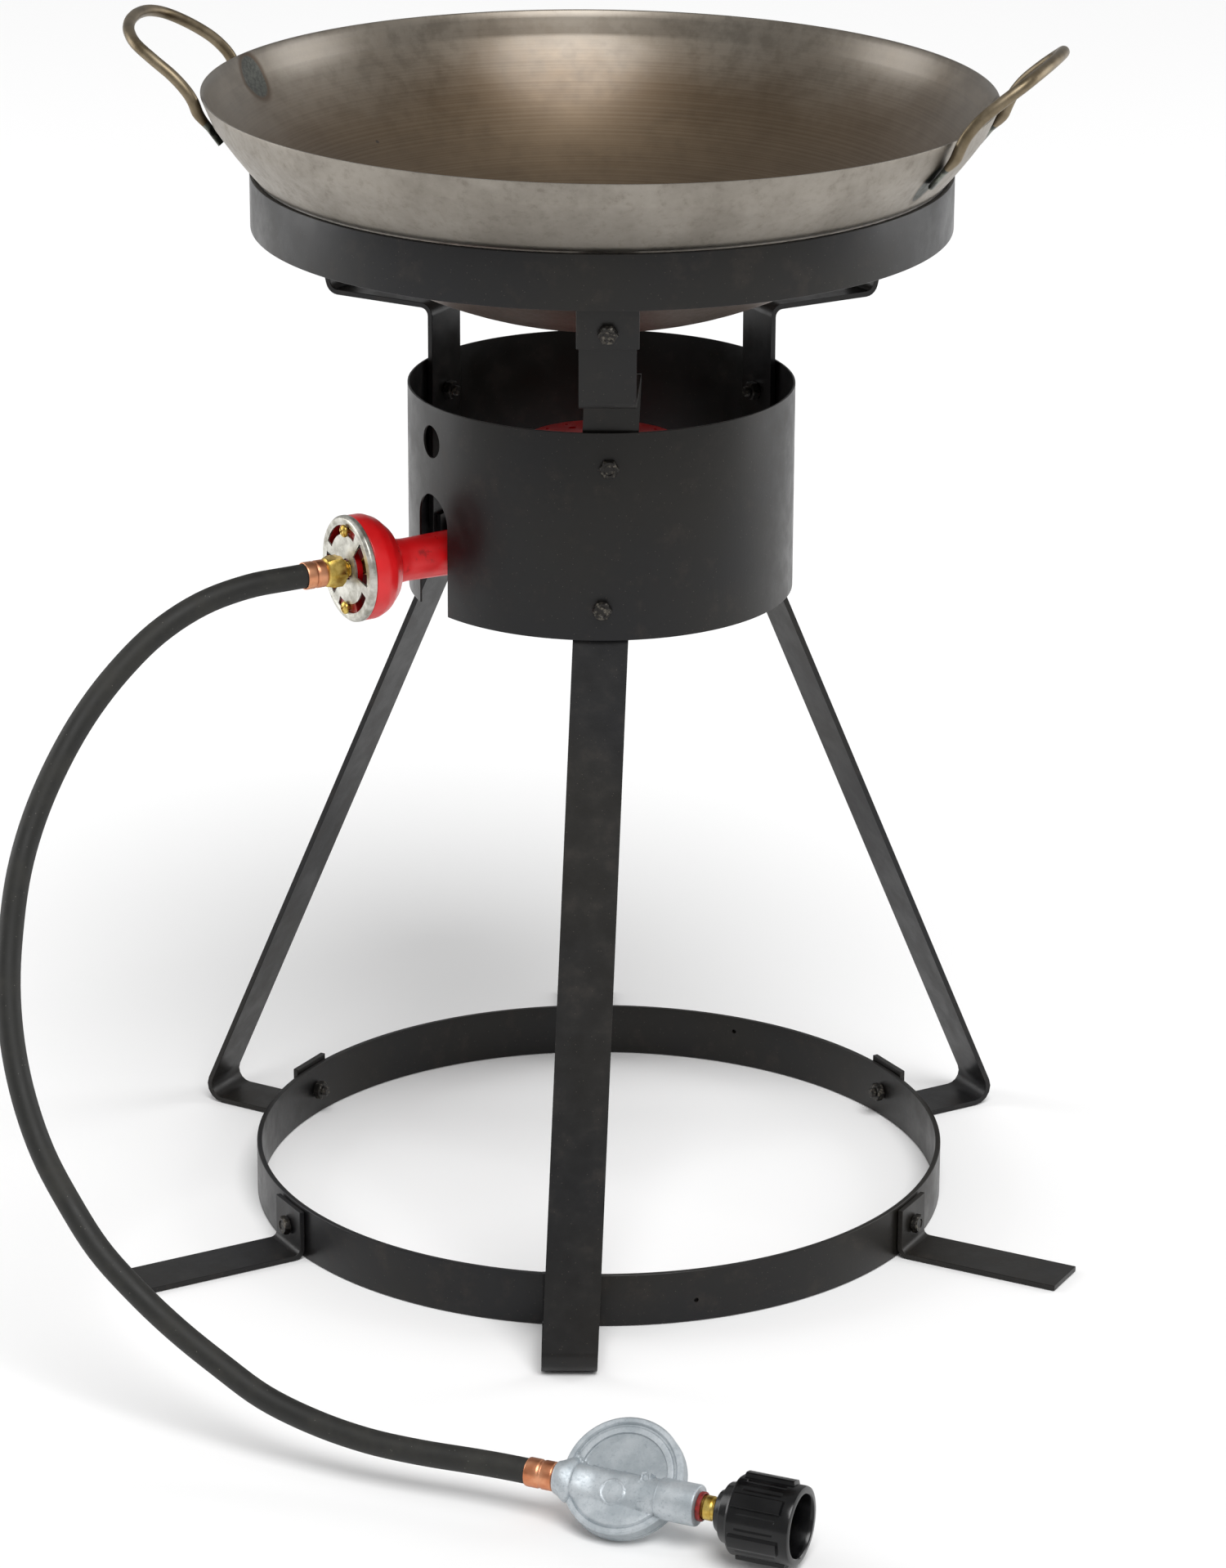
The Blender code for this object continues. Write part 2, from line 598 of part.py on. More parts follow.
finish(lathe("hose_fitting", (
    (4.6, 182.6), (9.4, 182.6), (9.4, 172.0), (5.4, 171.0), (5.4, SHUTTER_Z + GAP),
    (4.4, SHUTTER_Z + GAP), (4.4, 156.5), (2.0, 156.5), (2.0, 182.6),
), 12), "brass", venturi)
finish(lathe("gas_orifice", (
    (5.2, 156.2), (5.2, 149.0), (3.0, 145.0), (0.8, 145.0), (0.8, 156.2),
), 12), "brass", venturi)
finish(lathe("hose_ferrule_burner", (
    (8.0, 196.0), (8.0, 183.2), (HOSE_R + GAP, 183.2), (HOSE_R + GAP, 196.0),
), 18), "copper", venturi, 35)

# ---------------------------------------------------------------- hose
tube("gas_hose", smooth_route(HOSE_ROUTE, 2), HOSE_R, stand, "rubber", 10)

# ---------------------------------------------------------------- regulator
pipe = Vector(REG_DIR).normalized()
toward = Vector((pipe.y, -pipe.x, 0))
tilt = math.radians(REG_TILT)
face_dir = toward * math.cos(tilt) + Vector((0, 0, 1)) * math.sin(tilt)
up_face = face_dir.cross(pipe)
regulator = empty("regulator_axis", REG_POS, (up_face, face_dir, pipe), stand)
disc = empty("disc_axis", (DISC_X, DISC_Y, DISC_Z), ((0, 0, 1), (1, 0, 0), (0, 1, 0)), regulator)

finish(lathe("hose_ferrule_regulator", (
    (8.0, 16.2), (8.0, 0), (HOSE_R + GAP, 0), (HOSE_R + GAP, 16.2),
), 18), "copper", regulator, 35)

reg_body = finish(lathe("regulator_body", (
    (0, 2.0), (26.0, 2.0), (28.0, 1.0), (30.0, 1.0), (31.0, 3.0), (DISC_R, 3.0), (DISC_R, -5.0),
    (0, -5.0),
), 32, closed=False), "cast_zinc", disc, 35)
pipe_body = as_cutter(lathe("pipe_body", (
    (0, 99.2), (11.4, 99.2), (11.4, 80.0), (9.0, 70.0), (9.0, 40.0), (9.6, 24.0), (9.0, 16.6),
    (0, 16.6),
), 16, closed=False, home=cutters), regulator)
boolean(reg_body, pipe_body, "UNION")
diaphragm_room = as_cutter(lathe("diaphragm_room", (
    (0, -3.0), (26.0, -3.0), (26.0, -5.0), (DISC_R + 2, -5.0), (DISC_R + 2, -20.0), (0, -20.0),
), 28, closed=False, home=cutters), disc)
boolean(reg_body, diaphragm_room)
boolean(reg_body, as_cutter(lathe("inlet_bore", (
    (0, 102.0), (6.9, 102.0), (6.9, 88.0), (3.0, 88.0), (3.0, 70.0), (0, 70.0),
), 16, closed=False, home=cutters), regulator))
boolean(reg_body, as_cutter(lathe("outlet_bore", (
    (0, 32.0), (3.5, 32.0), (3.5, 14.0), (0, 14.0),
), 12, closed=False, home=cutters), regulator))

finish(lathe("regulator_bonnet", (
    (DISC_R, -5.3), (DISC_R, -8.0), (27.6, -8.6), (19.0, -20.0), (6.4, -20.0), (6.4, -18.2),
    (17.6, -18.2), (25.6, -8.4), (25.6, -5.3),
), 28), "cast_zinc", disc, 35)
vent = finish(lathe("regulator_vent_cap", (
    (6.0, -16.5), (6.0, -20.3), (8.5, -20.3), (8.5, -22.8), (1.2, -22.8), (1.2, -16.5),
), 14), "nut_plastic", disc, 35)
finish(lathe("regulator_diaphragm", (
    (0, -5.0), (23.5, -5.0), (23.5, -6.2), (0, -6.2),
), 24, closed=False), "rubber", disc)
SPRING_TURNS = 4
SPRING_STEPS = 10
SPRING_TOP = -7.4
SPRING_LENGTH = 10.0
SPRING_R = 9.5
coil = []
for k in range(SPRING_TURNS * SPRING_STEPS + 1):
    a = math.tau * k / SPRING_STEPS
    z = SPRING_TOP - SPRING_LENGTH * k / (SPRING_TURNS * SPRING_STEPS)
    coil.append((SPRING_R * math.cos(a), SPRING_R * math.sin(a), z))
tube("regulator_spring", coil, 0.6, disc, "spring_steel", 6)

finish(lathe("inlet_seal", (
    (8.0, 102.2), (8.0, 99.5), (6.8, 99.5), (6.8, 102.2),
), 16), "red_seal", regulator)
finish(lathe("inlet_nipple", (
    (2.5, 143.0), (5.0, 143.0), (7.0, 139.0), (7.0, 130.0), (12.0, 128.5), (12.0, 124.8),
    (6.5, 124.8), (6.5, 90.0), (2.5, 90.0),
), 16), "brass", regulator, 35)
nut_axis = empty("hand_nut_axis", (0, 0, 0), parent=regulator)
hand_nut = finish(lathe("hand_nut", (
    (20.4, 157.4), (21.6, 156.0), (21.6, 122.0), (17.0, 120.0), (16.0, 115.6), (12.0, 114.6),
    (11.0, 111.4), (8.4, 110.0), (6.9, 110.0), (6.9, 124.4), (16.0, 124.4), (16.8, 130.0),
    (16.8, 157.4),
), 24), "nut_plastic", nut_axis, 35)
bm = bmesh.new()
for k in range(6):
    box(bm, (7.0, 9.0, 28.0), (20.2, 0, 137.5), math.tau * (k + 0.5) / 6)
ribs = as_cutter(mesh_object("nut_ribs", bm, cutters), nut_axis)
boolean(hand_nut, ribs, "UNION")

# ---------------------------------------------------------------- wok
wok = empty("wok_seat", (0, 0, WOK_CENTRE_Z), parent=stand)
wok.rotation_euler = (0, math.radians(WOK_TILT), 0)


def wok_wall(radius, thick_in, count):
    """Half profile of the pan, from the rim down to the middle of the bowl."""
    rim = WOK_RIM_Z - WOK_CENTRE_Z
    crease = WOK_CREASE_Z - WOK_CENTRE_Z
    top_r = WOK_R - thick_in
    start = math.asin(crease / radius)
    out = [(top_r, rim)]
    for k in range(count + 1):
        a = start + (-math.pi / 2 - start) * k / count
        out.append((radius * math.cos(a), radius * math.sin(a)))
    out[-1] = (0.0, -radius)
    return out


outer = wok_wall(WOK_SPHERE_R, 0.0, 7)
inner = wok_wall(WOK_SPHERE_R - WOK_T, WOK_T, 7)
finish(lathe("wok_pan", outer + list(reversed(inner)), 48), "wok_steel", wok, 20)

for label, az in HANDLE_AZ.items():
    line = spoke("handle_line_" + label, az, wok)
    rise = Matrix.Rotation(math.radians(HANDLE_RISE[label]), 2)
    near = []
    for r, s, z in HANDLE_PATH:
        reach = Vector((r, z)) - Vector(HANDLE_BEND)
        if reach.x > 0:
            reach = rise @ reach
        r, z = reach + Vector(HANDLE_BEND)
        near.append((s, -r, z - WOK_CENTRE_Z))
    far = [(-x, y, z) for x, y, z in reversed(near[:-1])]
    tube("wok_handle_" + label, near + far, HANDLE_WIRE_R, line, "handle_steel", 8)
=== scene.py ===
"""The looks of a propane burner stand with its wok, hose and regulator.

Lengths are in millimetres. A piece is made in the frame of what it belongs to and then
placed in the row frame, in metres.
"""
import json
import math

import bmesh
import bpy
from mathutils import Matrix, Vector


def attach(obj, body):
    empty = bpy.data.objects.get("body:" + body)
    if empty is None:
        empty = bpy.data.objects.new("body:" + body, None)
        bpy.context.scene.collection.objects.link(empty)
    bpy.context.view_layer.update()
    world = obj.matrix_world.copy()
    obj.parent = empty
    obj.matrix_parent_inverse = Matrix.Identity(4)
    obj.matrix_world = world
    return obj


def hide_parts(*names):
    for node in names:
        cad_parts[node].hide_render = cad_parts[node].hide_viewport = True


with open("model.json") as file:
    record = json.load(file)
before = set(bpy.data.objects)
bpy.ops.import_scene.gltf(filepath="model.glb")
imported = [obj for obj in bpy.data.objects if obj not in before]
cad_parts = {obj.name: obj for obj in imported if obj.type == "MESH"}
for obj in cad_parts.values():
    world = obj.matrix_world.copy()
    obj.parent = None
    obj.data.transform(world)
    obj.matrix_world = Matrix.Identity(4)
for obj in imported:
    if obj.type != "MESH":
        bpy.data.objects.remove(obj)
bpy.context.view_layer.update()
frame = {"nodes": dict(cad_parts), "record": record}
nodes = frame["nodes"]
body_of_node = {
    node: body for body, held in frame["record"]["behaviour"]["bodies"].items() for node in held
}
scene = bpy.context.scene

MM = 0.001
GAP = 0.3
AXIS_Y = -18.0

# stand
BAR_W = 31.75
BAR_T = 3.175
BASE_R = 208.5
BOLT_Z = 16.6
FOOT_AZ = {"front_left": -60.5, "front_right": 62.2, "back": -178.2}
LEG_AZ = {"front": 0.0, "left": -120.0, "right": 120.0}
SMALL_HOLE_R = 1.4
SMALL_HOLE_DEPTH = 2.3
SMALL_HOLES = ((15.8, 13.0, "outside"), (155.0, 22.5, "inside"))
UPRIGHT_R = 107.4
LEG_BEND_Z = 384.0
LEG_LEAN = 0.0428
ARM_Z = 540.6
RING_R = 202.4
RING_Z = 601.8
TAB_R = 196.3
TAB_BEND_Z = 601.0
TAB_SLOPE = math.radians(14.7)
RING_BOLT_Z = 588.0
GUARD_R = 112.9
GUARD_T = 1.2
GUARD_Z0 = 384.7
GUARD_Z1 = 507.6
NOTCH_HALF = 16.8                   # notch for the burner tube, open at the bottom
NOTCH_TOP = 454.5
LIGHTING_Z = 486.0                  # hole for the match
LIGHTING_R = 9.6
GUARD_BOLTS_Z = {"upper": 487.0, "lower": 403.3}
BRACKET_Z = 393.0
BRACKET_T = 2.6

# burner
VENTURI_AZ = -60.0
VENTURI_Z = 418.0
HEAD_R = 47.2
HEAD_Z = 466.0
CAP_T = 4.2
BOWL_Z = BRACKET_Z + BRACKET_T + 0.55
MOUTH_Z = 167.0
BELL_Z = 164.0
THROAT_Z = 138.0           # the bell opens from here on
SHUTTER_Z = 168.5
SHUTTER_R = 31.0
SHUTTER_TURN = math.radians(20.0)
SCREW_R = 23.0

# hose and regulator
HOSE_R = 7.0
REG_POS = (-37.0, -443.8, 25.3)
REG_DIR = (0.917, -0.399, 0.0)
REG_TILT = math.radians(47.0)
DISC_POS = (8.0, -2.0, 52.4)
DISC_R = 33.5
HOSE_ROUTE = (
    (-143, -82.5, 418), (-160.2, -92.5, 418), (-178.4, -103, 418), (-201, -116, 417.2),
    (-226, -130.5, 411.5),
    (-250, -145, 399), (-271, -160, 381), (-289, -175, 360), (-304, -190, 336),
    (-316, -205, 310), (-324, -220, 283), (-328, -234, 254), (-329, -249, 226),
    (-326, -264, 198), (-319, -279, 171), (-308, -294, 145), (-293, -309, 122),
    (-275.5, -325, 100.5), (-254, -340, 82), (-231, -355, 66), (-206.5, -369, 51.5),
    (-182, -383, 39), (-154, -397, 31), (-125, -410, 26.5), (-96, -421, 25),
    (-66, -431.5, 25), (-47, -439.4, 25.3), (-22.8, -450, 25.3), (-5, -457.8, 25.3),
)

# wok
WOK_R = 228.6
WOK_RIM_Z = 678.4
WOK_T = 1.5
WOK_SPHERE_R = 267.7
WOK_CENTRE_Z = 812.8
WOK_CREASE_Z = 663.5
WOK_TILT = math.radians(0.5)
HANDLE_AZ = {"right": 73.2, "left": -97.2}
HANDLE_RISE = {"right": 8.6, "left": 0.0}    # degrees the loop is bent up past the rim
HANDLE_BEND = (225.4, 676.0)                 # radius and height of that bend
HANDLE_WIRE_R = 3.4
BLACKENED = 15.0                             # length of the heat-blackened ends
WELD_R = 216.0                               # where the ends meet the wall, and half the
WELD_SIDE = 58.2                             # distance between them
HANDLE_PATH = (
    (210.8, 58.2, 651.0), (217.6, 58.2, 660.0), (222.2, 58.2, 668.0), (225.4, 58.2, 676.0),
    (230.0, 57.5, 682.5), (238.0, 55.5, 690.0), (250.0, 51.0, 698.0), (261.0, 43.0, 704.5),
    (267.5, 30.0, 708.5), (270.5, 15.0, 710.3), (271.3, 0.0, 710.8),
)

# ---------------------------------------------------------------- camera
CAMERA_POS = (0.0, AXIS_Y - 3098.5, 1365.0)
CAMERA_PITCH = math.radians(19.664)
CAMERA_YAW = math.radians(-0.143)
CAMERA_ROLL = math.radians(0.25)
SENSOR = 36.0
FOCAL = 126.5

camera = bpy.data.objects.new("camera", bpy.data.cameras.new("camera"))
scene.collection.objects.link(camera)
camera.data.sensor_width = SENSOR
camera.data.lens = FOCAL
camera.data.clip_end = 50.0
camera.matrix_world = (
    Matrix.Translation(Vector(CAMERA_POS) * MM)
    @ Matrix.Rotation(CAMERA_YAW, 4, "Z")
    @ Matrix.Rotation(math.pi / 2 - CAMERA_PITCH, 4, "X")
    @ Matrix.Rotation(CAMERA_ROLL, 4, "Z")
)
scene.camera = camera


# ---------------------------------------------------------------- frames of reference
def frame_at(origin, x, y, z):
    """A frame with its origin in millimetres and its three axes."""
    out = Matrix((x, y, z)).transposed().to_4x4()
    out.translation = Vector(origin) * MM
    return out


def outward(az):
    a = math.radians(az)
    return Vector((math.sin(a), -math.cos(a), 0.0))


STAND = Matrix.Translation((0, AXIS_Y * MM, 0))
venturi_dir = outward(VENTURI_AZ)
venturi_side = outward(VENTURI_AZ + 90)
VENTURI = STAND @ frame_at((0, 0, VENTURI_Z), venturi_side, (0, 0, 1), venturi_dir)
SHUTTER = VENTURI @ Matrix.Rotation(SHUTTER_TURN, 4, "Z")
pipe = Vector(REG_DIR).normalized()
face_dir = Vector((pipe.y, -pipe.x, 0)) * math.cos(REG_TILT) + Vector((0, 0, math.sin(REG_TILT)))
REGULATOR = STAND @ frame_at(REG_POS, face_dir.cross(pipe), face_dir, pipe)
DISC = REGULATOR @ frame_at(DISC_POS, (0, 0, 1), (1, 0, 0), (0, 1, 0))
WOK = (STAND @ Matrix.Translation((0, 0, WOK_CENTRE_Z * MM))
       @ Matrix.Rotation(WOK_TILT, 4, "Y"))


# ---------------------------------------------------------------- materials
def tone(red, green, blue):
    """A colour given as it looks on a screen, 0 to 255."""
    out = []
    for value in (red, green, blue):
        value /= 255
        out.append(value / 12.92 if value < 0.04045 else ((value + 0.055) / 1.055) ** 2.4)
    return (*out, 1.0)


class Look:
    """A Principled material, with short calls for the nodes that feed it."""

    def __init__(self, name, colour, metal, rough, **sockets):
        self.material = bpy.data.materials.new(name)
        self.material.use_nodes = True
        self.tree = self.material.node_tree
        self.shader = self.tree.nodes["Principled BSDF"]
        self.shader.inputs["Base Color"].default_value = colour
        self.shader.inputs["Metallic"].default_value = metal
        self.shader.inputs["Roughness"].default_value = rough
        for socket, value in sockets.items():
            self.shader.inputs[socket.replace("_", " ")].default_value = value
        self.place = self.node("ShaderNodeTexCoord").outputs["Object"]
        self.material.diffuse_color = colour

    def node(self, kind, inputs=(), **settings):
        node = self.tree.nodes.new(kind)
        for key, value in settings.items():
            setattr(node, key, value)
        for key, value in dict(inputs).items():
            self.feed(node.inputs[key], value)
        return node

    def feed(self, socket, value):
        """Link the output of another node to a socket, or set a plain value."""
        if isinstance(value, bpy.types.NodeSocket):
            self.tree.links.new(value, socket)
        else:
            socket.default_value = value

    def local(self, home, scale=(1, 1, 1)):
        """Coordinates in a piece's own frame, in metres over a scale."""
        here = self.node("ShaderNodeMapping", {
            "Vector": self.place, "Location": home.translation,
            "Rotation": home.to_euler(), "Scale": scale}, vector_type="TEXTURE")
        return here.outputs[0]

    def noise(self, scale, detail=3.0, rough=0.55, at=None, **more):
        node = self.node("ShaderNodeTexNoise", {
            "Vector": at or self.place, "Scale": scale, "Detail": detail, "Roughness": rough,
            **more})
        return node.outputs["Fac"]

    def spots(self, scale, size, at=None):
        """Small round specks: 1 inside, 0 outside."""
        cells = self.node("ShaderNodeTexVoronoi", {"Vector": at or self.place, "Scale": scale})
        return self.span(cells.outputs["Distance"], size, size * 0.4)

    def span(self, value, low, high, to_low=0.0, to_high=1.0):
        node = self.node("ShaderNodeMapRange", {
            "Value": value, "From Min": low, "From Max": high, "To Min": to_low,
            "To Max": to_high}, interpolation_type="SMOOTHSTEP")
        return node.outputs[0]

    def sum(self, a, b, operation="ADD"):
        node = self.node("ShaderNodeMath", operation=operation)
        for socket, value in zip(node.inputs, (a, b)):
            self.feed(socket, value)
        return node.outputs[0]

    def mix(self, share, a, b):
        node = self.node("ShaderNodeMix", data_type="RGBA")
        for index, value in ((0, share), (6, a), (7, b)):
            self.feed(node.inputs[index], value)
        return node.outputs[2]

    def colour(self, value):
        self.tree.links.new(value, self.shader.inputs["Base Color"])

    def rough(self, value, low, high):
        """Roughness that follows a 0 to 1 value."""
        self.tree.links.new(
            self.span(value, 0.25, 0.75, low, high), self.shader.inputs["Roughness"])

    def bump(self, height, depth, strength=1.0):
        """A relief of depth millimetres, on top of any that is there already."""
        normal = self.shader.inputs["Normal"]
        before = normal.links[0].from_socket if normal.links else None
        node = self.node("ShaderNodeBump", {
            "Height": height, "Distance": depth * MM, "Strength": strength})
        if before:
            self.tree.links.new(before, node.inputs["Normal"])
        self.tree.links.new(node.outputs[0], normal)


def black_paint():
    """Satin black paint on hot-rolled bar: warm and cool patches, specks, fine orange peel."""
    look = Look("black_paint", tone(24, 22, 21), 0.0, 0.36, Specular_IOR_Level=0.3)
    wide = look.noise(7.0, 2.0)
    colour = look.mix(look.span(wide, 0.35, 0.65), tone(18, 18, 20), tone(25, 23, 20))
    cloud = look.noise(60.0, 5.0, 0.65)
    colour = look.mix(look.span(cloud, 0.5, 0.8, 0.0, 0.5), colour, tone(50, 44, 39))
    colour = look.mix(look.spots(330.0, 0.10), colour, tone(72, 66, 60))
    look.colour(colour)
    look.rough(cloud, 0.3, 0.44)
    look.bump(look.noise(700.0, 2.0), 0.06, 0.35)
    look.bump(look.noise(90.0, 3.0), 0.12, 0.25)
    return look.material


def dark_zinc():
    """Fasteners painted over with the frame, worn to metal in patches."""
    look = Look("dark_zinc", tone(60, 57, 54), 0.7, 0.38)
    worn = look.noise(420.0, 4.0, 0.6)
    colour = look.mix(look.span(worn, 0.5, 0.7), tone(40, 38, 36), tone(104, 99, 90))
    look.colour(colour)
    look.rough(worn, 0.3, 0.5)
    look.bump(look.noise(900.0, 2.0), 0.05, 0.4)
    return look.material


def red_paint(name, shade):
    """Thick red paint on a sand casting, with pits and smears; shade is how much painted shade
    darkens it.
    """
    look = Look(name, tone(214, 16, 22), 0.0, 0.34, Coat_Weight=0.2, Coat_Roughness=0.2)
    cloud = look.noise(35.0, 3.0)
    colour = look.mix(look.span(cloud, 0.3, 0.7), tone(204, 12, 18), tone(228, 22, 28))
    grime = look.noise(60.0, 5.0, 0.7)
    colour = look.mix(look.span(grime, 0.62, 0.78, 0.0, 0.55), colour, tone(92, 10, 14))
    colour = look.mix(look.spots(140.0, 0.10), colour, tone(70, 12, 12))
    # painted shade: the shade share turns the paint towards a dark brown-red
    look.colour(look.mix(shade, colour, tone(70, 22, 20)))
    look.rough(grime, 0.26, 0.44)
    look.bump(look.noise(240.0, 4.0, 0.6), 0.25, 0.4)
    look.bump(look.noise(40.0, 2.0), 0.5, 0.3)
    return look.material


def shutter_zinc():
    """Zinc-plated sheet: pale spangle, smears and fine scratches."""
    look = Look("shutter_zinc", tone(186, 184, 174), 0.85, 0.36)
    cloud = look.noise(130.0, 5.0, 0.65)
    colour = look.mix(look.span(cloud, 0.3, 0.7), tone(150, 147, 136), tone(214, 213, 205))
    stain = look.noise(60.0, 3.0)
    colour = look.mix(look.span(stain, 0.58, 0.75, 0.0, 0.6), colour, tone(120, 108, 84))
    look.colour(colour)
    look.rough(cloud, 0.28, 0.46)
    scratch = look.noise(160.0, 3.0, 0.6, look.local(SHUTTER, (1, 12, 1)))
    look.bump(scratch, 0.05, 0.3)
    return look.material


def wok_heat(look, colour, marks, inside):
    """Heat tint where the handle ends are welded on: a grey-green tongue with a brown edge."""
    core = None
    halo = None
    for home, half in marks:
        reach = look.node("ShaderNodeVectorMath", {0: look.local(home, half)}, operation="LENGTH")
        near = look.span(reach.outputs["Value"], 1.0, 0.86)
        wide = look.span(reach.outputs["Value"], 1.3, 1.0)
        core = near if core is None else look.sum(core, near, "MAXIMUM")
        halo = wide if halo is None else look.sum(halo, wide, "MAXIMUM")
    streak = look.noise(500.0, 3.0, 0.6)
    tongue = look.mix(look.span(streak, 0.35, 0.65), tone(42, 46, 42), tone(72, 76, 70))
    edge = look.sum(halo, 0.95 if inside else 0.5, "MULTIPLY")
    colour = look.mix(edge, colour, tone(72, 54, 34))
    return look.mix(look.sum(core, 0.92, "MULTIPLY"), colour, tongue)


def wok_inside(marks):
    """Oiled spun steel: brown in the bowl, greyer to the rim, with spinning rings."""
    look = Look("wok_inside", tone(120, 100, 76), 0.85, 0.42, Coat_Weight=0.6,
                Coat_Roughness=0.27)
    here = look.local(WOK)
    split = look.node("ShaderNodeSeparateXYZ", {0: here})
    flat = look.node("ShaderNodeCombineXYZ", {"X": split.outputs["X"], "Y": split.outputs["Y"]})
    length = look.node("ShaderNodeVectorMath", {0: flat.outputs[0]}, operation="LENGTH")
    radius = length.outputs["Value"]
    blotch = look.noise(9.0, 5.0, 0.6)
    fine = look.noise(95.0, 5.0, 0.65)
    wander = look.sum(radius, look.sum(blotch, 0.05, "MULTIPLY"), "ADD")
    bowl = look.mix(look.span(blotch, 0.35, 0.65), tone(78, 61, 40), tone(92, 75, 54))
    wall = look.mix(look.span(fine, 0.35, 0.65), tone(109, 102, 92), tone(123, 116, 106))
    colour = look.mix(look.span(wander, 0.214, 0.258), bowl, wall)
    colour = look.mix(look.span(fine, 0.5, 0.75, 0.0, 0.16), colour, tone(76, 62, 46))
    colour = look.mix(look.spots(26.0, 0.05), colour, tone(38, 30, 26))
    rings = look.node("ShaderNodeTexNoise", {"W": radius, "Scale": 900.0, "Detail": 3.0},
                      noise_dimensions="1D")
    colour = look.mix(look.span(rings.outputs["Fac"], 0.3, 0.7, 0.0, 0.07), colour,
                      tone(160, 148, 130))
    look.colour(wok_heat(look, colour, marks, True))
    look.rough(fine, 0.35, 0.45)
    look.bump(rings.outputs["Fac"], 0.02, 0.12)
    look.bump(look.noise(16.0, 2.0), 0.6, 0.2)
    return look.material


def wok_outside(marks):
    """Bare grey steel, mottled and finely scratched around the bowl."""
    look = Look("wok_outside", tone(150, 144, 136), 1.0, 0.46)
    blotch = look.noise(14.0, 5.0, 0.65)
    fine = look.noise(170.0, 5.0, 0.7)
    colour = look.mix(look.span(blotch, 0.35, 0.65), tone(136, 130, 121), tone(154, 148, 139))
    colour = look.mix(look.span(fine, 0.5, 0.75, 0.0, 0.3), colour, tone(106, 97, 86))
    # Painted shade: the outside turns darker and browner from the ring down, under the pan.
    height = look.node("ShaderNodeSeparateXYZ", {0: look.place}).outputs["Z"]
    colour = look.mix(look.span(height, 0.62, 0.585), colour, tone(96, 84, 76))
    look.colour(wok_heat(look, colour, marks, False))
    look.rough(fine, 0.4, 0.56)
    scratch = look.noise(60.0, 4.0, 0.7, look.local(WOK, (1, 1, 0.05)))
    look.bump(scratch, 0.06, 0.35)
    return look.material


def cloudy(name, colour, metal, rough, cloud, tones, gloss, grain, **sockets):
    """A material whose colour and gloss drift between two values, with a fine relief."""
    look = Look(name, colour, metal, rough, **sockets)
    drift = look.noise(*cloud)
    look.colour(look.mix(look.span(drift, 0.3, 0.7), *tones))
    look.rough(drift, *gloss)
    scale, detail, depth, strength = grain
    look.bump(look.noise(scale, detail), depth, strength)
    return look.material


def handle_bronze():
    """Wire with a bronze oven tint."""
    return cloudy(
        "handle_bronze", tone(142, 122, 92), 1.0, 0.34, (60.0, 4.0, 0.6),
        (tone(104, 92, 72), tone(136, 124, 104)), (0.36, 0.5), (900.0, 3.0, 0.05, 0.3))


def weld_grey():
    """The pressed, heat-blackened ends of the handle wires."""
    look = Look("weld_grey", tone(72, 74, 70), 0.7, 0.45)
    cloud = look.noise(260.0, 4.0, 0.6)
    look.colour(look.mix(look.span(cloud, 0.35, 0.65), tone(58, 60, 56), tone(122, 126, 116)))
    look.rough(cloud, 0.32, 0.55)
    look.bump(cloud, 0.2, 0.5)
    return look.material


def brass():
    return cloudy(
        "brass", tone(196, 164, 76), 1.0, 0.28, (190.0, 4.0, 0.6),
        (tone(174, 138, 54), tone(224, 198, 112)), (0.3, 0.42), (1100.0, 2.0, 0.03, 0.3))


def copper():
    """Crimped copper sleeves."""
    return cloudy(
        "copper", tone(214, 142, 104), 1.0, 0.3, (110.0, 3.0, 0.5),
        (tone(204, 130, 92), tone(230, 166, 128)), (0.32, 0.42), (700.0, 2.0, 0.03, 0.2))


def hose_rubber():
    """Matt black rubber cover with a dusty bloom and a faint fabric print-through."""
    look = Look("hose_rubber", tone(34, 34, 31), 0.0, 0.5, Specular_IOR_Level=0.4)
    dust = look.noise(40.0, 5.0, 0.65)
    colour = look.mix(look.span(dust, 0.4, 0.75), tone(28, 28, 26), tone(46, 45, 41))
    colour = look.mix(look.spots(260.0, 0.09), colour, tone(96, 94, 88))
    look.colour(colour)
    look.rough(dust, 0.5, 0.7)
    look.bump(look.noise(800.0, 2.0), 0.05, 0.5)
    look.bump(look.noise(140.0, 3.0), 0.1, 0.3)
    return look.material


def cast_zinc():
    """Bare die-cast zinc: bluish grey, grainy, darker on the low parts of the face."""
    look = Look("cast_zinc", tone(178, 185, 189), 0.55, 0.5)
    cloud = look.noise(70.0, 4.0, 0.6)
    grain = look.noise(520.0, 4.0, 0.7)
    colour = look.mix(look.span(cloud, 0.3, 0.7), tone(164, 172, 177), tone(194, 200, 204))
    colour = look.mix(look.span(grain, 0.5, 0.75, 0.0, 0.45), colour, tone(122, 132, 140))
    height = look.node("ShaderNodeSeparateXYZ", {0: look.local(DISC)}).outputs["Z"]
    colour = look.mix(look.span(height, 0.0026, 0.0004, 0.0, 0.35), colour, tone(112, 120, 124))
    look.colour(colour)
    look.rough(grain, 0.44, 0.6)
    look.bump(grain, 0.14, 0.5)
    return look.material


def nut_plastic():
    """Glossy black moulded plastic."""
    return cloudy(
        "nut_plastic", tone(12, 12, 13), 0.0, 0.16, (90.0, 3.0),
        (tone(7, 7, 8), tone(15, 15, 16)), (0.14, 0.26), (60.0, 2.0, 0.15, 0.3),
        Specular_IOR_Level=0.36)


def red_seal():
    look = Look("red_seal", tone(122, 22, 18), 0.0, 0.5)
    cloud = look.noise(500.0, 3.0)
    look.colour(look.mix(look.span(cloud, 0.3, 0.7), tone(92, 16, 12), tone(150, 30, 24)))
    look.bump(cloud, 0.2, 0.6)
    return look.material


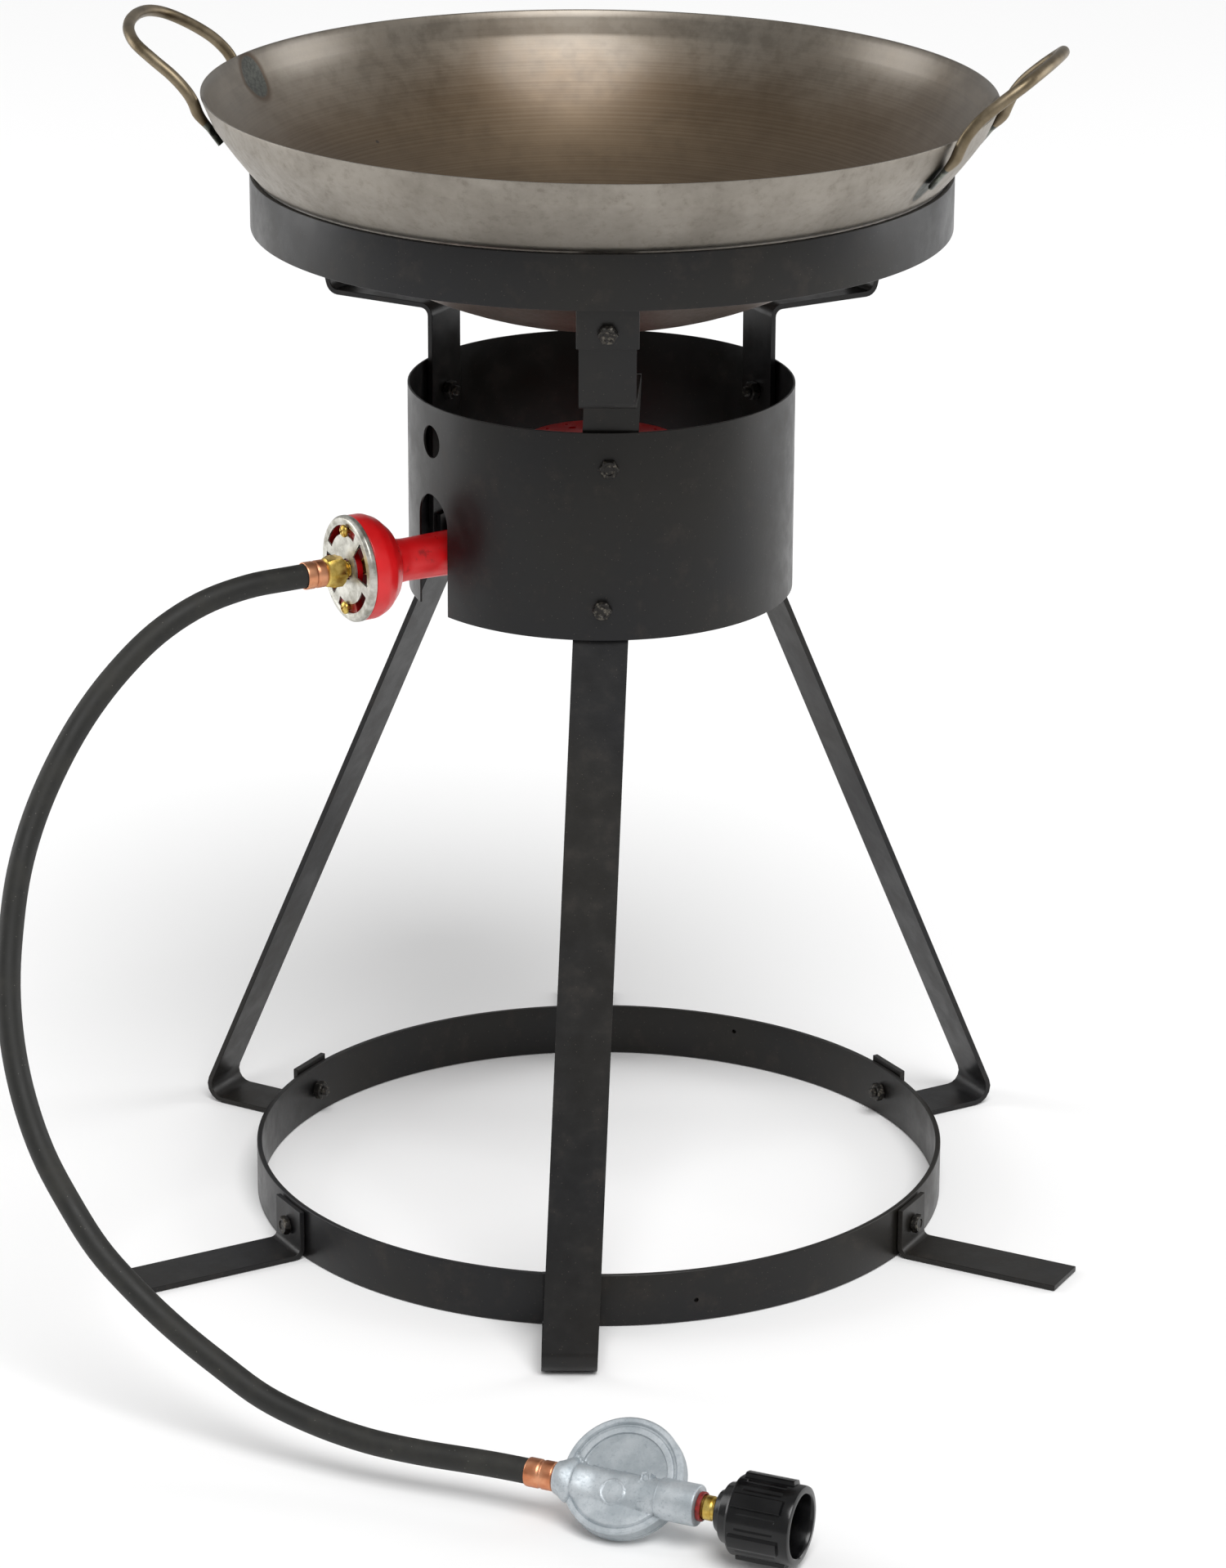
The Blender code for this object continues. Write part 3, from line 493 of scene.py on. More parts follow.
def spring_steel():
    """Bright spring wire."""
    look = Look("spring_steel", tone(150, 150, 148), 1.0, 0.32)
    cloud = look.noise(300.0, 3.0)
    look.colour(look.mix(look.span(cloud, 0.3, 0.7), tone(110, 110, 108), tone(170, 170, 168)))
    return look.material


# ---------------------------------------------------------------- shapes
def turned(profile, steps=96, closed=True, swell=None):
    """Turn a profile of (radius, height) about local Z. swell(angle, r, z) changes a radius."""
    bm = bmesh.new()
    rings = []
    for r, z in profile:
        if r < 0.001:
            rings.append([bm.verts.new((0, 0, z))])
            continue
        ring = []
        for k in range(steps):
            a = math.tau * k / steps
            reach = swell(a, r, z) if swell else r
            ring.append(bm.verts.new((reach * math.cos(a), reach * math.sin(a), z)))
        rings.append(ring)
    pairs = list(zip(rings, rings[1:]))
    if closed:
        pairs.append((rings[-1], rings[0]))
    for low, high in pairs:
        for k in range(steps):
            n = k + 1
            corners = (low[k % len(low)], low[n % steps % len(low)],
                       high[n % steps % len(high)], high[k % len(high)])
            corners = list(dict.fromkeys(corners))
            if len(corners) > 2:
                bm.faces.new(corners)
    return bm


def rod(radius, z0, z1, steps):
    """A plain round bar along local Z."""
    return turned(((0, z0), (radius, z0), (radius, z1), (0, z1)), steps, closed=False)


def fillet(profile, radius, arc=3, closed=True):
    """Round the corners of an outline."""
    out = []
    last = len(profile) - 1
    for i, point in enumerate(profile):
        p = Vector(point)
        if not closed and i in (0, last):
            out.append(tuple(p))
            continue
        a = Vector(profile[i - 1]) - p
        b = Vector(profile[(i + 1) % len(profile)]) - p
        reach = min(radius, a.length * 0.45, b.length * 0.45)
        p0 = p + a.normalized() * reach
        p1 = p + b.normalized() * reach
        for k in range(arc + 1):
            t = k / arc
            out.append(tuple(p0 * (1 - t) ** 2 + p * 2 * t * (1 - t) + p1 * t * t))
    return out


def hexagon(apothem):
    """A swell that limits a turned shape to a hexagon, so that its ends come out chamfered."""
    def swell(angle, r, z):
        off = (angle % (math.pi / 3)) - math.pi / 6
        return min(r, apothem / math.cos(off)) if r > apothem * 0.9 else r
    return swell


def arc(centre, radius, a0, a1, count):
    out = []
    for k in range(count + 1):
        a = math.radians(a0 + (a1 - a0) * k / count)
        out.append((centre[0] + radius * math.cos(a), centre[1] + radius * math.sin(a)))
    return out


def prism(outline, z0, z1):
    """A closed prism over an outline in local XY."""
    bm = bmesh.new()
    face = bm.faces.new([bm.verts.new((x, y, z0)) for x, y in outline])
    grown = bmesh.ops.extrude_face_region(bm, geom=[face])
    moved = [g for g in grown["geom"] if isinstance(g, bmesh.types.BMVert)]
    bmesh.ops.translate(bm, verts=moved, vec=(0, 0, z1 - z0))
    bmesh.ops.recalc_face_normals(bm, faces=bm.faces)
    return bm


def sector(r0, r1, angle, half, z0, z1, count=16):
    outline = arc((0, 0), r1, angle - half, angle + half, count)
    outline += arc((0, 0), r0, angle + half, angle - half, count)
    return prism(outline, z0, z1)


def moved(bm, matrix):
    bmesh.ops.transform(bm, matrix=matrix, verts=bm.verts)
    return bm


def carve(bm, tools, operation="DIFFERENCE"):
    """Cut other solids out of one, or join them to it."""
    made = []
    for shape in (bm, *tools):
        bmesh.ops.recalc_face_normals(shape, faces=shape.faces)
        mesh = bpy.data.meshes.new("work")
        shape.to_mesh(mesh)
        shape.free()
        ob = bpy.data.objects.new("work", mesh)
        scene.collection.objects.link(ob)
        made.append(ob)
    for tool in made[1:]:
        mod = made[0].modifiers.new("cut", "BOOLEAN")
        mod.operation = operation
        mod.solver = "EXACT"
        mod.object = tool
    out = bmesh.new()
    out.from_object(made[0], bpy.context.evaluated_depsgraph_get())
    for ob in made:
        mesh = ob.data
        bpy.data.objects.remove(ob, do_unlink=True)
        bpy.data.meshes.remove(mesh)
    return out


def smooth_route(points, per_span):
    """Catmull-Rom points through a given route."""
    pts = [Vector(p) for p in points]
    out = []
    for i in range(1, len(pts) - 2):
        p0, p1, p2, p3 = pts[i - 1:i + 3]
        for k in range(per_span):
            t = k / per_span
            out.append(0.5 * (
                2 * p1 + (p2 - p0) * t
                + (2 * p0 - 5 * p1 + 4 * p2 - p3) * t ** 2
                + (3 * p1 - p0 - 3 * p2 + p3) * t ** 3
            ))
    out.append(pts[-2])
    return out


def sweep(points, sizes, across, sides=20):
    """Sweep an ellipse along a path; sizes are its half width along across and half depth."""
    bm = bmesh.new()
    rings = []
    for i, p in enumerate(points):
        ahead = points[min(i + 1, len(points) - 1)] - points[max(i - 1, 0)]
        ahead.normalize()
        across = (across - ahead * across.dot(ahead)).normalized()
        other = ahead.cross(across)
        half_w, half_d = sizes[i]
        rings.append([
            bm.verts.new(p + across * half_w * math.cos(math.tau * k / sides)
                         + other * half_d * math.sin(math.tau * k / sides))
            for k in range(sides)])
    for low, high in zip(rings, rings[1:]):
        for k in range(sides):
            n = (k + 1) % sides
            bm.faces.new((low[k], low[n], high[n], high[k]))
    bm.faces.new(list(reversed(rings[0])))
    bm.faces.new(rings[-1])
    return bm


def stand_for(ob, node, *more):
    """A finished piece rides with its CAD node's body and takes that node's place."""
    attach(ob, body_of_node[node])
    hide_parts(node, *more)


def piece(node, bm, home, look, sharp=32):
    """Place a shape made in a frame, smooth it and let it take a CAD node's place."""
    bmesh.ops.recalc_face_normals(bm, faces=bm.faces)
    mesh = bpy.data.meshes.new(node + "_detail")
    bm.to_mesh(mesh)
    bm.free()
    mesh.transform(home @ Matrix.Scale(MM, 4))
    mesh.polygons.foreach_set("use_smooth", [True] * len(mesh.polygons))
    mesh.set_sharp_from_angle(angle=math.radians(sharp))
    mesh.materials.append(look)
    ob = bpy.data.objects.new(node + "_detail", mesh)
    scene.collection.objects.link(ob)
    stand_for(ob, node)
    return ob


def second_look(ob, look, chosen):
    """Give the faces that a test picks a second material."""
    ob.data.materials.append(look)
    for poly in ob.data.polygons:
        if chosen(poly):
            poly.material_index = 1


def refined(node, look, edge=0.4, sharp=40):
    """A copy of a CAD bar with its sawn edges rounded over, in the CAD bar's place."""
    source = nodes[node]
    bm = bmesh.new()
    bm.from_mesh(source.data)
    bm.transform(source.matrix_world)
    bmesh.ops.remove_doubles(bm, verts=bm.verts, dist=0.000002)
    bmesh.ops.dissolve_limit(
        bm, angle_limit=math.radians(0.5), verts=bm.verts, edges=bm.edges)
    rims = [e for e in bm.edges if len(e.link_faces) == 2
            and e.calc_face_angle(0.0) > math.radians(sharp)]
    bmesh.ops.bevel(bm, geom=rims, offset=edge * MM, segments=2, profile=0.6,
                    affect="EDGES", clamp_overlap=True)
    bm.transform(Matrix.Scale(1 / MM, 4))
    ob = piece(node, bm, Matrix.Identity(4), look, 38)
    even = ob.modifiers.new("even", "WEIGHTED_NORMAL")
    even.keep_sharp = True


# ---------------------------------------------------------------- hose
def make_hose(look):
    """The hose, one smooth curve from the burner's ferrule to the regulator's."""
    route = [STAND @ (point * MM) for point in smooth_route(HOSE_ROUTE, 5)]
    curve = bpy.data.curves.new("hose", "CURVE")
    curve.dimensions = "3D"
    curve.bevel_depth = HOSE_R * MM
    curve.bevel_resolution = 10
    curve.use_fill_caps = True
    spline = curve.splines.new("POLY")
    spline.points.add(len(route) - 1)
    for point, co in zip(spline.points, route):
        point.co = (*co, 1.0)
    curve.materials.append(look)
    hose = bpy.data.objects.new("hose", curve)
    scene.collection.objects.link(hose)
    stand_for(hose, "gas_hose")
    return hose, sum((b - a).length for a, b in zip(route, route[1:]))


# ---------------------------------------------------------------- bolts
HEAD_H = 4.0
NUT_H = 5.0
THREAD_R = 3.0
BOLT_APOTHEM = 5.0
BURNER_NUT_APOTHEM = 6.1
FITTING_APOTHEM = 8.3


def thread(z0, z1, radius, pitch=1.0, depth=0.35):
    """Profile of a threaded stretch, from z0 down to z1."""
    out = []
    count = max(1, round((z0 - z1) / pitch))
    for k in range(count):
        z = z0 + (z1 - z0) * k / count
        step = (z1 - z0) / count
        out += [(radius - depth, z + step * 0.1), (radius, z + step * 0.45),
                (radius, z + step * 0.6)]
    return out


def bolt(node, az, z, r_head, r_nut, x=0.0, tilt=0.0):
    """A hexagon bolt and nut: chamfered head with a marked dish, threaded tail past the nut."""
    grip = r_head - r_nut
    tail = -grip - NUT_H
    big = BOLT_APOTHEM * 1.2
    profile = [
        (0, HEAD_H - 0.5), (2.6, HEAD_H - 0.5), (3.2, HEAD_H), (4.7, HEAD_H),
        (big, HEAD_H - 0.8), (big, 0.35), (4.8, 0.0), (THREAD_R, 0.0), (THREAD_R, -grip),
        (4.8, -grip), (big, -grip - 0.7), (big, tail + 0.7), (4.8, tail), (3.6, tail),
    ]
    profile += thread(tail, tail - 2.6, THREAD_R, 0.9)
    profile += [(2.3, tail - 3.0), (0, tail - 3.0)]
    turn = (Matrix.Rotation(math.radians(az), 4, "Z")
            @ Matrix.Rotation(math.pi / 2 - tilt, 4, "X"))
    start = Vector((x, -r_head, z))
    start.rotate(Matrix.Rotation(math.radians(az), 3, "Z"))
    home = STAND @ Matrix.Translation(start * MM) @ turn
    bm = turned(profile, 48, closed=False, swell=hexagon(BOLT_APOTHEM))
    piece(node, bm, home, looks["dark_zinc"], 24)


def make_bolts():
    head_r = BASE_R + BAR_T + 2 * GAP
    nut_r = BASE_R - BAR_T - 2 * GAP
    for label, az in FOOT_AZ.items():
        bolt("base_bolt_" + label, az, BOLT_Z, head_r, nut_r)
    for label, az in LEG_AZ.items():
        lean = LEG_LEAN if label == "front" else 0.0
        low_x = lean * (BAR_T / 2 - LEG_BEND_Z)
        bolt("base_bolt_leg_" + label, az, BOLT_Z, head_r, nut_r - abs(low_x) * 0.09, x=low_x)
        half_t = BAR_T / 2 + GAP
        mid_r = TAB_R - (TAB_BEND_Z - RING_BOLT_Z) * math.tan(TAB_SLOPE)
        seat_r = mid_r + half_t * math.cos(TAB_SLOPE)
        bolt("ring_bolt_" + label, az, RING_BOLT_Z - half_t * math.sin(TAB_SLOPE), seat_r,
             seat_r - 2 * BAR_T - 3 * GAP, x=lean * (ARM_Z - LEG_BEND_Z) / 2, tilt=-TAB_SLOPE)
        for level, z in GUARD_BOLTS_Z.items():
            inner = UPRIGHT_R - BAR_T / 2 - GAP
            if level == "lower":
                inner -= BRACKET_T + GAP
            bolt("guard_bolt_%s_%s" % (level, label), az, z, GUARD_R + GAP, inner,
                 x=lean * (z - LEG_BEND_Z))


# ---------------------------------------------------------------- rings and guard
def flat_ring(radius, z0, height, thick, edge):
    """A ring of flat bar standing on edge, with its edges rounded over."""
    outline = ((radius, z0 + height), (radius, z0), (radius - thick, z0),
               (radius - thick, z0 + height))
    return turned(fillet(outline, edge), 224)


def radial_tool(az, z, r0, r1, radius, steps=24):
    """A round bar along an azimuth of the stand, for cutting holes."""
    turn = Matrix.Rotation(math.radians(az), 4, "Z") @ Matrix.Rotation(math.pi / 2, 4, "X")
    return moved(rod(radius, r0, r1, steps), Matrix.Translation((0, 0, z)) @ turn)


def make_rings():
    paint = looks["black_paint"]
    piece("wok_ring", flat_ring(RING_R, RING_Z, BAR_W, BAR_T, 0.6), STAND, paint)
    ring = flat_ring(BASE_R, 0.0, BAR_W, BAR_T, 0.6)
    holes = []
    for az, z, face in SMALL_HOLES:
        if face == "outside":
            holes.append(radial_tool(
                az, z, BASE_R - SMALL_HOLE_DEPTH, BASE_R + 8, SMALL_HOLE_R))
        else:
            inner = BASE_R - BAR_T
            holes.append(radial_tool(
                az, z, inner - 8, inner + SMALL_HOLE_DEPTH, SMALL_HOLE_R))
    piece("base_ring", carve(ring, holes), STAND, paint)

    guard = flat_ring(GUARD_R, GUARD_Z0, GUARD_Z1 - GUARD_Z0, GUARD_T, 0.35)
    outline = [(NOTCH_HALF, GUARD_Z0 - 10)]
    outline += arc((0, NOTCH_TOP - NOTCH_HALF), NOTCH_HALF, 0, 180, 24)
    outline += [(-NOTCH_HALF, GUARD_Z0 - 10)]
    notch = moved(prism(outline, GUARD_R - 15, GUARD_R + 10),
                  Matrix.Rotation(math.radians(VENTURI_AZ), 4, "Z")
                  @ Matrix.Rotation(math.pi / 2, 4, "X"))
    light = radial_tool(VENTURI_AZ, LIGHTING_Z, GUARD_R - 15, GUARD_R + 8, LIGHTING_R, 40)
    piece("wind_guard", carve(guard, [notch, light]), STAND, paint)


# ---------------------------------------------------------------- burner
def make_burner():
    red = looks["red_paint"]
    bowl = turned(fillet((
        (0, HEAD_Z), (HEAD_R, HEAD_Z), (HEAD_R, HEAD_Z - 8), (40, HEAD_Z - 22), (30, 432),
        (24, 415), (22, BOWL_Z), (0, BOWL_Z)), 2.0, closed=False), 72, closed=False)
    to_stand = STAND.inverted() @ VENTURI
    to_stand.translation /= MM
    horn = moved(turned(fillet((
        (0, MOUTH_Z), (28.0, MOUTH_Z), (29.2, MOUTH_Z - 1.0), (29.2, BELL_Z), (30.6, BELL_Z),
        (30.6, 155.6), (28.2, 149.8), (22.2, 143.4), (16.2, 140.0), (13.4, 139.2),
        (12.4, 132.0), (13.6, 70.0), (14.5, 20.0), (0, 20.0)), 1.6, closed=False), 64,
        closed=False), to_stand)
    body = carve(bowl, [horn], "UNION")
    inside = turned((
        (0, HEAD_Z + 5), (HEAD_R - 5, HEAD_Z + 5), (HEAD_R - 5, HEAD_Z - 8), (35.5, HEAD_Z - 20),
        (26, 433), (19.5, 416), (18, BOWL_Z + 5), (0, BOWL_Z + 5)), 64, closed=False)
    throat = moved(turned((
        (0, MOUTH_Z - 4.0), (26.8, MOUTH_Z - 4.0), (26.8, 157.5), (24.6, 152.5), (18.4, 146.0),
        (10.2, 139.0), (9.2, 132.0), (10.6, 70.0), (11.0, 10.0), (0, 10.0)), 48, closed=False),
        to_stand)
    tools = [inside, throat]
    for angle in (0, 180):
        tools.append(moved(sector(10.5, 25.8, angle, 66, MOUTH_Z - 8, MOUTH_Z + 3), to_stand))
    bores = [(0, 0, 4.8), (0, SCREW_R, 1.95), (0, -SCREW_R, 1.95)]
    for x, y, radius in bores:
        bore = rod(radius, MOUTH_Z - 8, MOUTH_Z + 3, 20)
        tools.append(moved(bore, to_stand @ Matrix.Translation((x, y, 0))))
    tools.append(rod(4.4, 380, 430, 20))
    ob = piece("burner_body", carve(body, tools), STAND, red, 36)
    up = VENTURI.inverted()

    # Painted shade: the faces inside the mouth, behind the shutter, take the darker copy of the
    # red paint.
    def in_mouth(poly):
        here = up @ poly.center
        facing = up.to_3x3() @ poly.normal
        inward = facing.x * here.x + facing.y * here.y < 0
        return here.z > THROAT_Z * MM and (inward or facing.z > 0.9)

    second_look(ob, looks["red_mouth_painted_shade"], in_mouth)

    cap = turned(fillet((
        (HEAD_R, HEAD_Z + CAP_T), (HEAD_R, HEAD_Z + GAP), (4.4, HEAD_Z + GAP),
        (4.4, HEAD_Z + CAP_T - 0.6), (9.0, HEAD_Z + CAP_T - 0.6),
        (10.0, HEAD_Z + CAP_T)), 1.0), 96)
    ports = []
    for count, ring, radius in ((12, 34.0, 2.2), (18, 41.5, 1.1)):
        for k in range(count):
            a = math.tau * k / count
            spot = Matrix.Translation((ring * math.cos(a), ring * math.sin(a), 0))
            ports.append(moved(rod(radius, HEAD_Z - 3, HEAD_Z + 9, 16), spot))
    piece("burner_cap", carve(cap, ports), STAND, red, 36)

    top = HEAD_Z + CAP_T + GAP
    low = BRACKET_Z - 0.25 - GAP
    profile = [(0, top + 5), (6.0, top + 5), (7.2, top + 4.2), (7.2, top + 0.4), (6.0, top),
               (4.0, top), (4.0, low), (6.0, low), (7.2, low - 0.7), (7.2, low - 5.3),
               (6.0, low - 6), (4.0, low - 6)]
    profile += thread(low - 6, low - 8.6, 4.0)
    profile += [(3.2, low - 9), (0, low - 9)]
    bm = turned(profile, 48, closed=False, swell=hexagon(BURNER_NUT_APOTHEM))
    piece("burner_bolt", bm, STAND, looks["dark_zinc"], 24)


# ---------------------------------------------------------------- air shutter and gas fitting
def make_shutter():
    face = SHUTTER_Z
    shell = turned(fillet((
        (SHUTTER_R, face - 1.6), (SHUTTER_R, BELL_Z + GAP), (SHUTTER_R - 1.3, BELL_Z + GAP),
        (SHUTTER_R - 1.3, face - 1.2), (6.0, face - 1.2), (6.0, face - 0.3), (26.6, face - 0.3),
        (27.6, face), (29.6, face)), 0.5), 96)
    tools = []
    for angle in (90, 270):
        tools.append(sector(20.3, 25.7, angle, 45, face - 3, face + 3, 24))
    for angle in (0, 180):
        tools.append(sector(12.0, 25.0, angle, 30, face - 3, face + 3, 16))
    piece("air_shutter", carve(shell, tools), SHUTTER, looks["shutter_zinc"], 30)

    for label, height in (("upper", SCREW_R), ("lower", -SCREW_R)):
        head = turned(fillet((
            (0, face + 3.0), (2.2, face + 2.9), (3.7, face + 1.8), (3.7, face + GAP),
            (1.75, face + GAP), (1.75, MOUTH_Z - 6), (0, MOUTH_Z - 6)), 0.5, closed=False),
            40, closed=False)
        slots = []
        for turn in (0.5, 0.5 + math.pi / 2):
            bar = prism(((-2.6, -0.45), (2.6, -0.45), (2.6, 0.45), (-2.6, 0.45)),
                        face + 1.9, face + 4)
            slots.append(moved(bar, Matrix.Rotation(turn, 4, "Z")))
        home = VENTURI @ Matrix.Translation((0, height * MM, 0))
        piece("shutter_screw_" + label, carve(head, slots), home, looks["brass"])


def make_fitting():
    """Brass tail: threaded neck into the mouth, tapered hexagon, and the crimped sleeve."""
    profile = [(2.0, 183.0), (7.2, 183.0), (8.4, 182.0), (9.6, 179.0), (9.6, 173.2),
               (8.4, 172.0), (5.6, 171.4)]
    profile += thread(171.0, 168.8, 5.4, 0.8)
    profile += thread(168.0, 156.5, 4.3, 1.1)
    profile += [(2.0, 156.5)]
    bm = turned(profile, 48, swell=hexagon(FITTING_APOTHEM))
    piece("hose_fitting", bm, VENTURI, looks["brass"], 26)
    piece("gas_orifice", turned(fillet((
        (5.2, 156.2), (5.2, 149.0), (3.0, 145.0), (0.8, 145.0), (0.8, 156.2)), 0.5), 40),
        VENTURI, looks["brass"])
    ferrule("hose_ferrule_burner", VENTURI, 183.2, 196.0)
    ferrule("hose_ferrule_regulator", REGULATOR, 16.2, 0.0)


def ferrule(node, home, start, end):
    """A copper sleeve crimped on the hose, from the fitting to its mouth."""
    length = end - start
    inner = HOSE_R + GAP
    outline = [(7.4, 0.0), (8.0, 0.05), (8.0, 0.41), (7.6, 0.46), (7.6, 0.52), (8.0, 0.57),
               (8.0, 0.95), (7.8, 1.0), (inner, 1.0), (inner, 0.0)]
    profile = [(r, start + length * share) for r, share in outline]

    def crimp(angle, r, z):
        return r - 0.04 * (0.5 + 0.5 * math.cos(angle * 8)) if inner < r < 7.7 else r

    piece(node, turned(fillet(profile, 0.25, 2), 64, swell=crimp), home, looks["copper"])


# ---------------------------------------------------------------- regulator
def ease(x, low, high):
    t = min(1.0, max(0.0, (x - low) / (high - low)))
    return t * t * (3 - 2 * t)


FACE_Z = 1.0              # lowest cast level over the disc's plane
FACE_R = 30.6             # where the cast face meets the disc's rim
PLATEAU_H = 2.8           # the lower half stands this much higher
RIDGE_H = 5.6             # the ridge over the pipe, lowest in its middle
RIDGE_HALF = 10.5
BOSS_R = 7.4              # plain round pad


def face_height(x, y):
    """Height of the cast face over the disc's plane; x runs along the pipe, y up the face."""
    r = math.hypot(x, y)
    recess = FACE_Z + 1.2 * ease(r, 24.2, 24.9) - 0.8 * ease(r, 27.8, 28.4)
    recess += 1.6 * ease(r, 29.4, 30.4)
    edge = -2.0 + 6.5 * max(0.0, (-x - 9.0) / 15.5) ** 2 + 2.4 * ease(x, -9.0, 14.0)
    lower = FACE_Z + PLATEAU_H * ease(edge - y, -0.7, 0.7) * ease(FACE_R - r, 0.0, 2.0)
    height = max(recess, lower)
    off = (y + DISC_POS[0]) / RIDGE_HALF
    if abs(off) < 1:
        top = RIDGE_H + 3.6 * ease(x, 4.0, 26.0) + 2.8 * ease(-x, 12.0, 27.0)
        fade = ease(DISC_R - 0.1 - r, 0.0, 4.0)
        height = max(height, top * (1 - abs(off) ** 2.4) ** 0.42 * fade)
    boss = math.hypot(x + 1.8, y + 11.0)
    height += 0.55 * ease(BOSS_R - boss, 0.0, 0.5) - 0.45 * ease(BOSS_R - 1.1 - boss, 0.0, 0.5)
    lug = max(abs(x - 14.4) - 3.4, abs(y - 0.2) - 3.6)
    height = max(height, 6.6 * ease(-lug, 0.0, 0.7))
    hollow = math.hypot(x - 14.4, y - 0.2)
    height -= 1.1 * ease(2.2 - hollow, 0.0, 0.6)
    clip = max(abs(x - 15.8) - 2.2, abs(y + 15.6) - 2.0)
    height += 1.1 * ease(-clip, 0.0, 0.6)
    return height


def make_regulator():
    zinc = looks["cast_zinc"]
    steps = 144
    radii = [0.0] + [DISC_R * (k / 60) ** 0.9 for k in range(1, 61)]
    bm = bmesh.new()
    rings = []
    for r in radii:
        if r == 0:
            rings.append([bm.verts.new((0, 0, face_height(0, 0)))])
            continue
        ring = []
        for k in range(steps):
            a = math.tau * k / steps
            x, y = r * math.cos(a), r * math.sin(a)
            fall = 0.9 * ease(r, DISC_R - 0.9, DISC_R)
            ring.append(bm.verts.new((x, y, face_height(x, y) - fall)))
        rings.append(ring)
    for r, z in ((DISC_R, -4.5), (DISC_R - 0.5, -5.0), (26.0, -5.0), (25.6, -3.0)):
        rings.append([bm.verts.new((r * math.cos(math.tau * k / steps),
                                    r * math.sin(math.tau * k / steps), z))
                      for k in range(steps)])
    rings.append([bm.verts.new((0, 0, -3.0))])
    for low, high in zip(rings, rings[1:]):
        for k in range(steps):
            n = (k + 1) % steps
            corners = list(dict.fromkeys((low[k % len(low)], low[n % len(low)],
                                          high[n % len(high)], high[k % len(high)])))
            bm.faces.new(corners)
    to_disc = DISC.inverted() @ REGULATOR
    to_disc.translation /= MM

    def spread(angle, r, z):
        """The neck widens across the face as it meets the disc."""
        wide = r * (1 + 0.45 * ease(z, 17.0, 26.0))
        deep = r * (1 - 0.14 * ease(z, 20.0, 26.0))
        return 1 / math.hypot(math.cos(angle) / wide, math.sin(angle) / deep)

    outlet = turned(fillet((
        (0, 28.6), (5.0, 28.2), (8.4, 27.0), (9.3, 24.0), (9.2, 20.0), (9.0, 16.6), (0, 16.6)),
        1.2, closed=False), 56, closed=False,
        swell=lambda a, r, z: spread(a, r, z) if r > 1 else r)
    inlet = turned(fillet((
        (0, 99.2), (10.9, 99.2), (11.3, 98.4), (11.3, 76.5), (0, 74.5)),
        1.4, closed=False), 56, closed=False)
    bm = carve(bm, [moved(outlet, to_disc), moved(inlet, to_disc)], "UNION")
    room = turned(((0, -3.0), (26.0, -3.0), (26.0, -5.0), (DISC_R + 4, -5.0),
                   (DISC_R + 4, -20.0), (0, -20.0)), 72, closed=False)
    bore = moved(turned(((0, 102.0), (6.9, 102.0), (6.9, 88.0), (3.0, 88.0), (3.0, 70.0),
                         (0, 70.0)), 32, closed=False), to_disc)
    piece("regulator_body", carve(bm, [room, bore]), DISC, zinc, 34)

    bonnet = turned(fillet((
        (DISC_R, -5.3), (DISC_R, -8.0), (27.6, -8.6), (19.0, -20.0), (6.4, -20.0), (6.4, -18.2),
        (17.6, -18.2), (25.6, -8.4), (25.6, -5.3)), 1.0), 96)
    piece("regulator_bonnet", bonnet, DISC, zinc)

    grip = 12
    cap = turned(fillet((
        (6.0, -16.5), (6.0, -20.3), (8.5, -20.3), (8.5, -22.8), (1.2, -22.8), (1.2, -16.5)), 0.4),
        96, swell=lambda a, r, z: r - 0.25 * (0.5 + 0.5 * math.cos(a * grip)) if r > 8 else r)
    piece("regulator_vent_cap", cap, DISC, looks["nut_plastic"])
    piece("inlet_seal", turned(fillet((
        (8.0, 102.2), (8.0, 99.5), (6.8, 99.5), (6.8, 102.2)), 0.6), 48), REGULATOR,
        looks["red_seal"])
    piece("inlet_nipple", turned(fillet((
        (2.5, 143.0), (5.0, 143.0), (7.0, 139.0), (7.0, 130.0), (12.0, 128.5), (12.0, 124.8),
        (6.3, 124.8), (6.3, 108.0), (6.7, 107.4), (6.7, 103.4), (6.3, 103.0), (6.3, 90.0),
        (2.5, 90.0)), 0.5), 64), REGULATOR, looks["brass"])


NUT_R = 21.6
RIB_HALF = math.radians(11.5)       # half the angle that one of the six ribs takes
RIB_H = 2.1
RIB_Z = (123.9, 151.6)
GROOVE_AT = math.radians(21.0)      # from a rib's middle to the groove beside it
GROOVE_HALF = (math.radians(1.6), math.radians(3.4))
GROOVE_DEPTH = 0.4
GROOVE_Z = (127.0, 149.0)


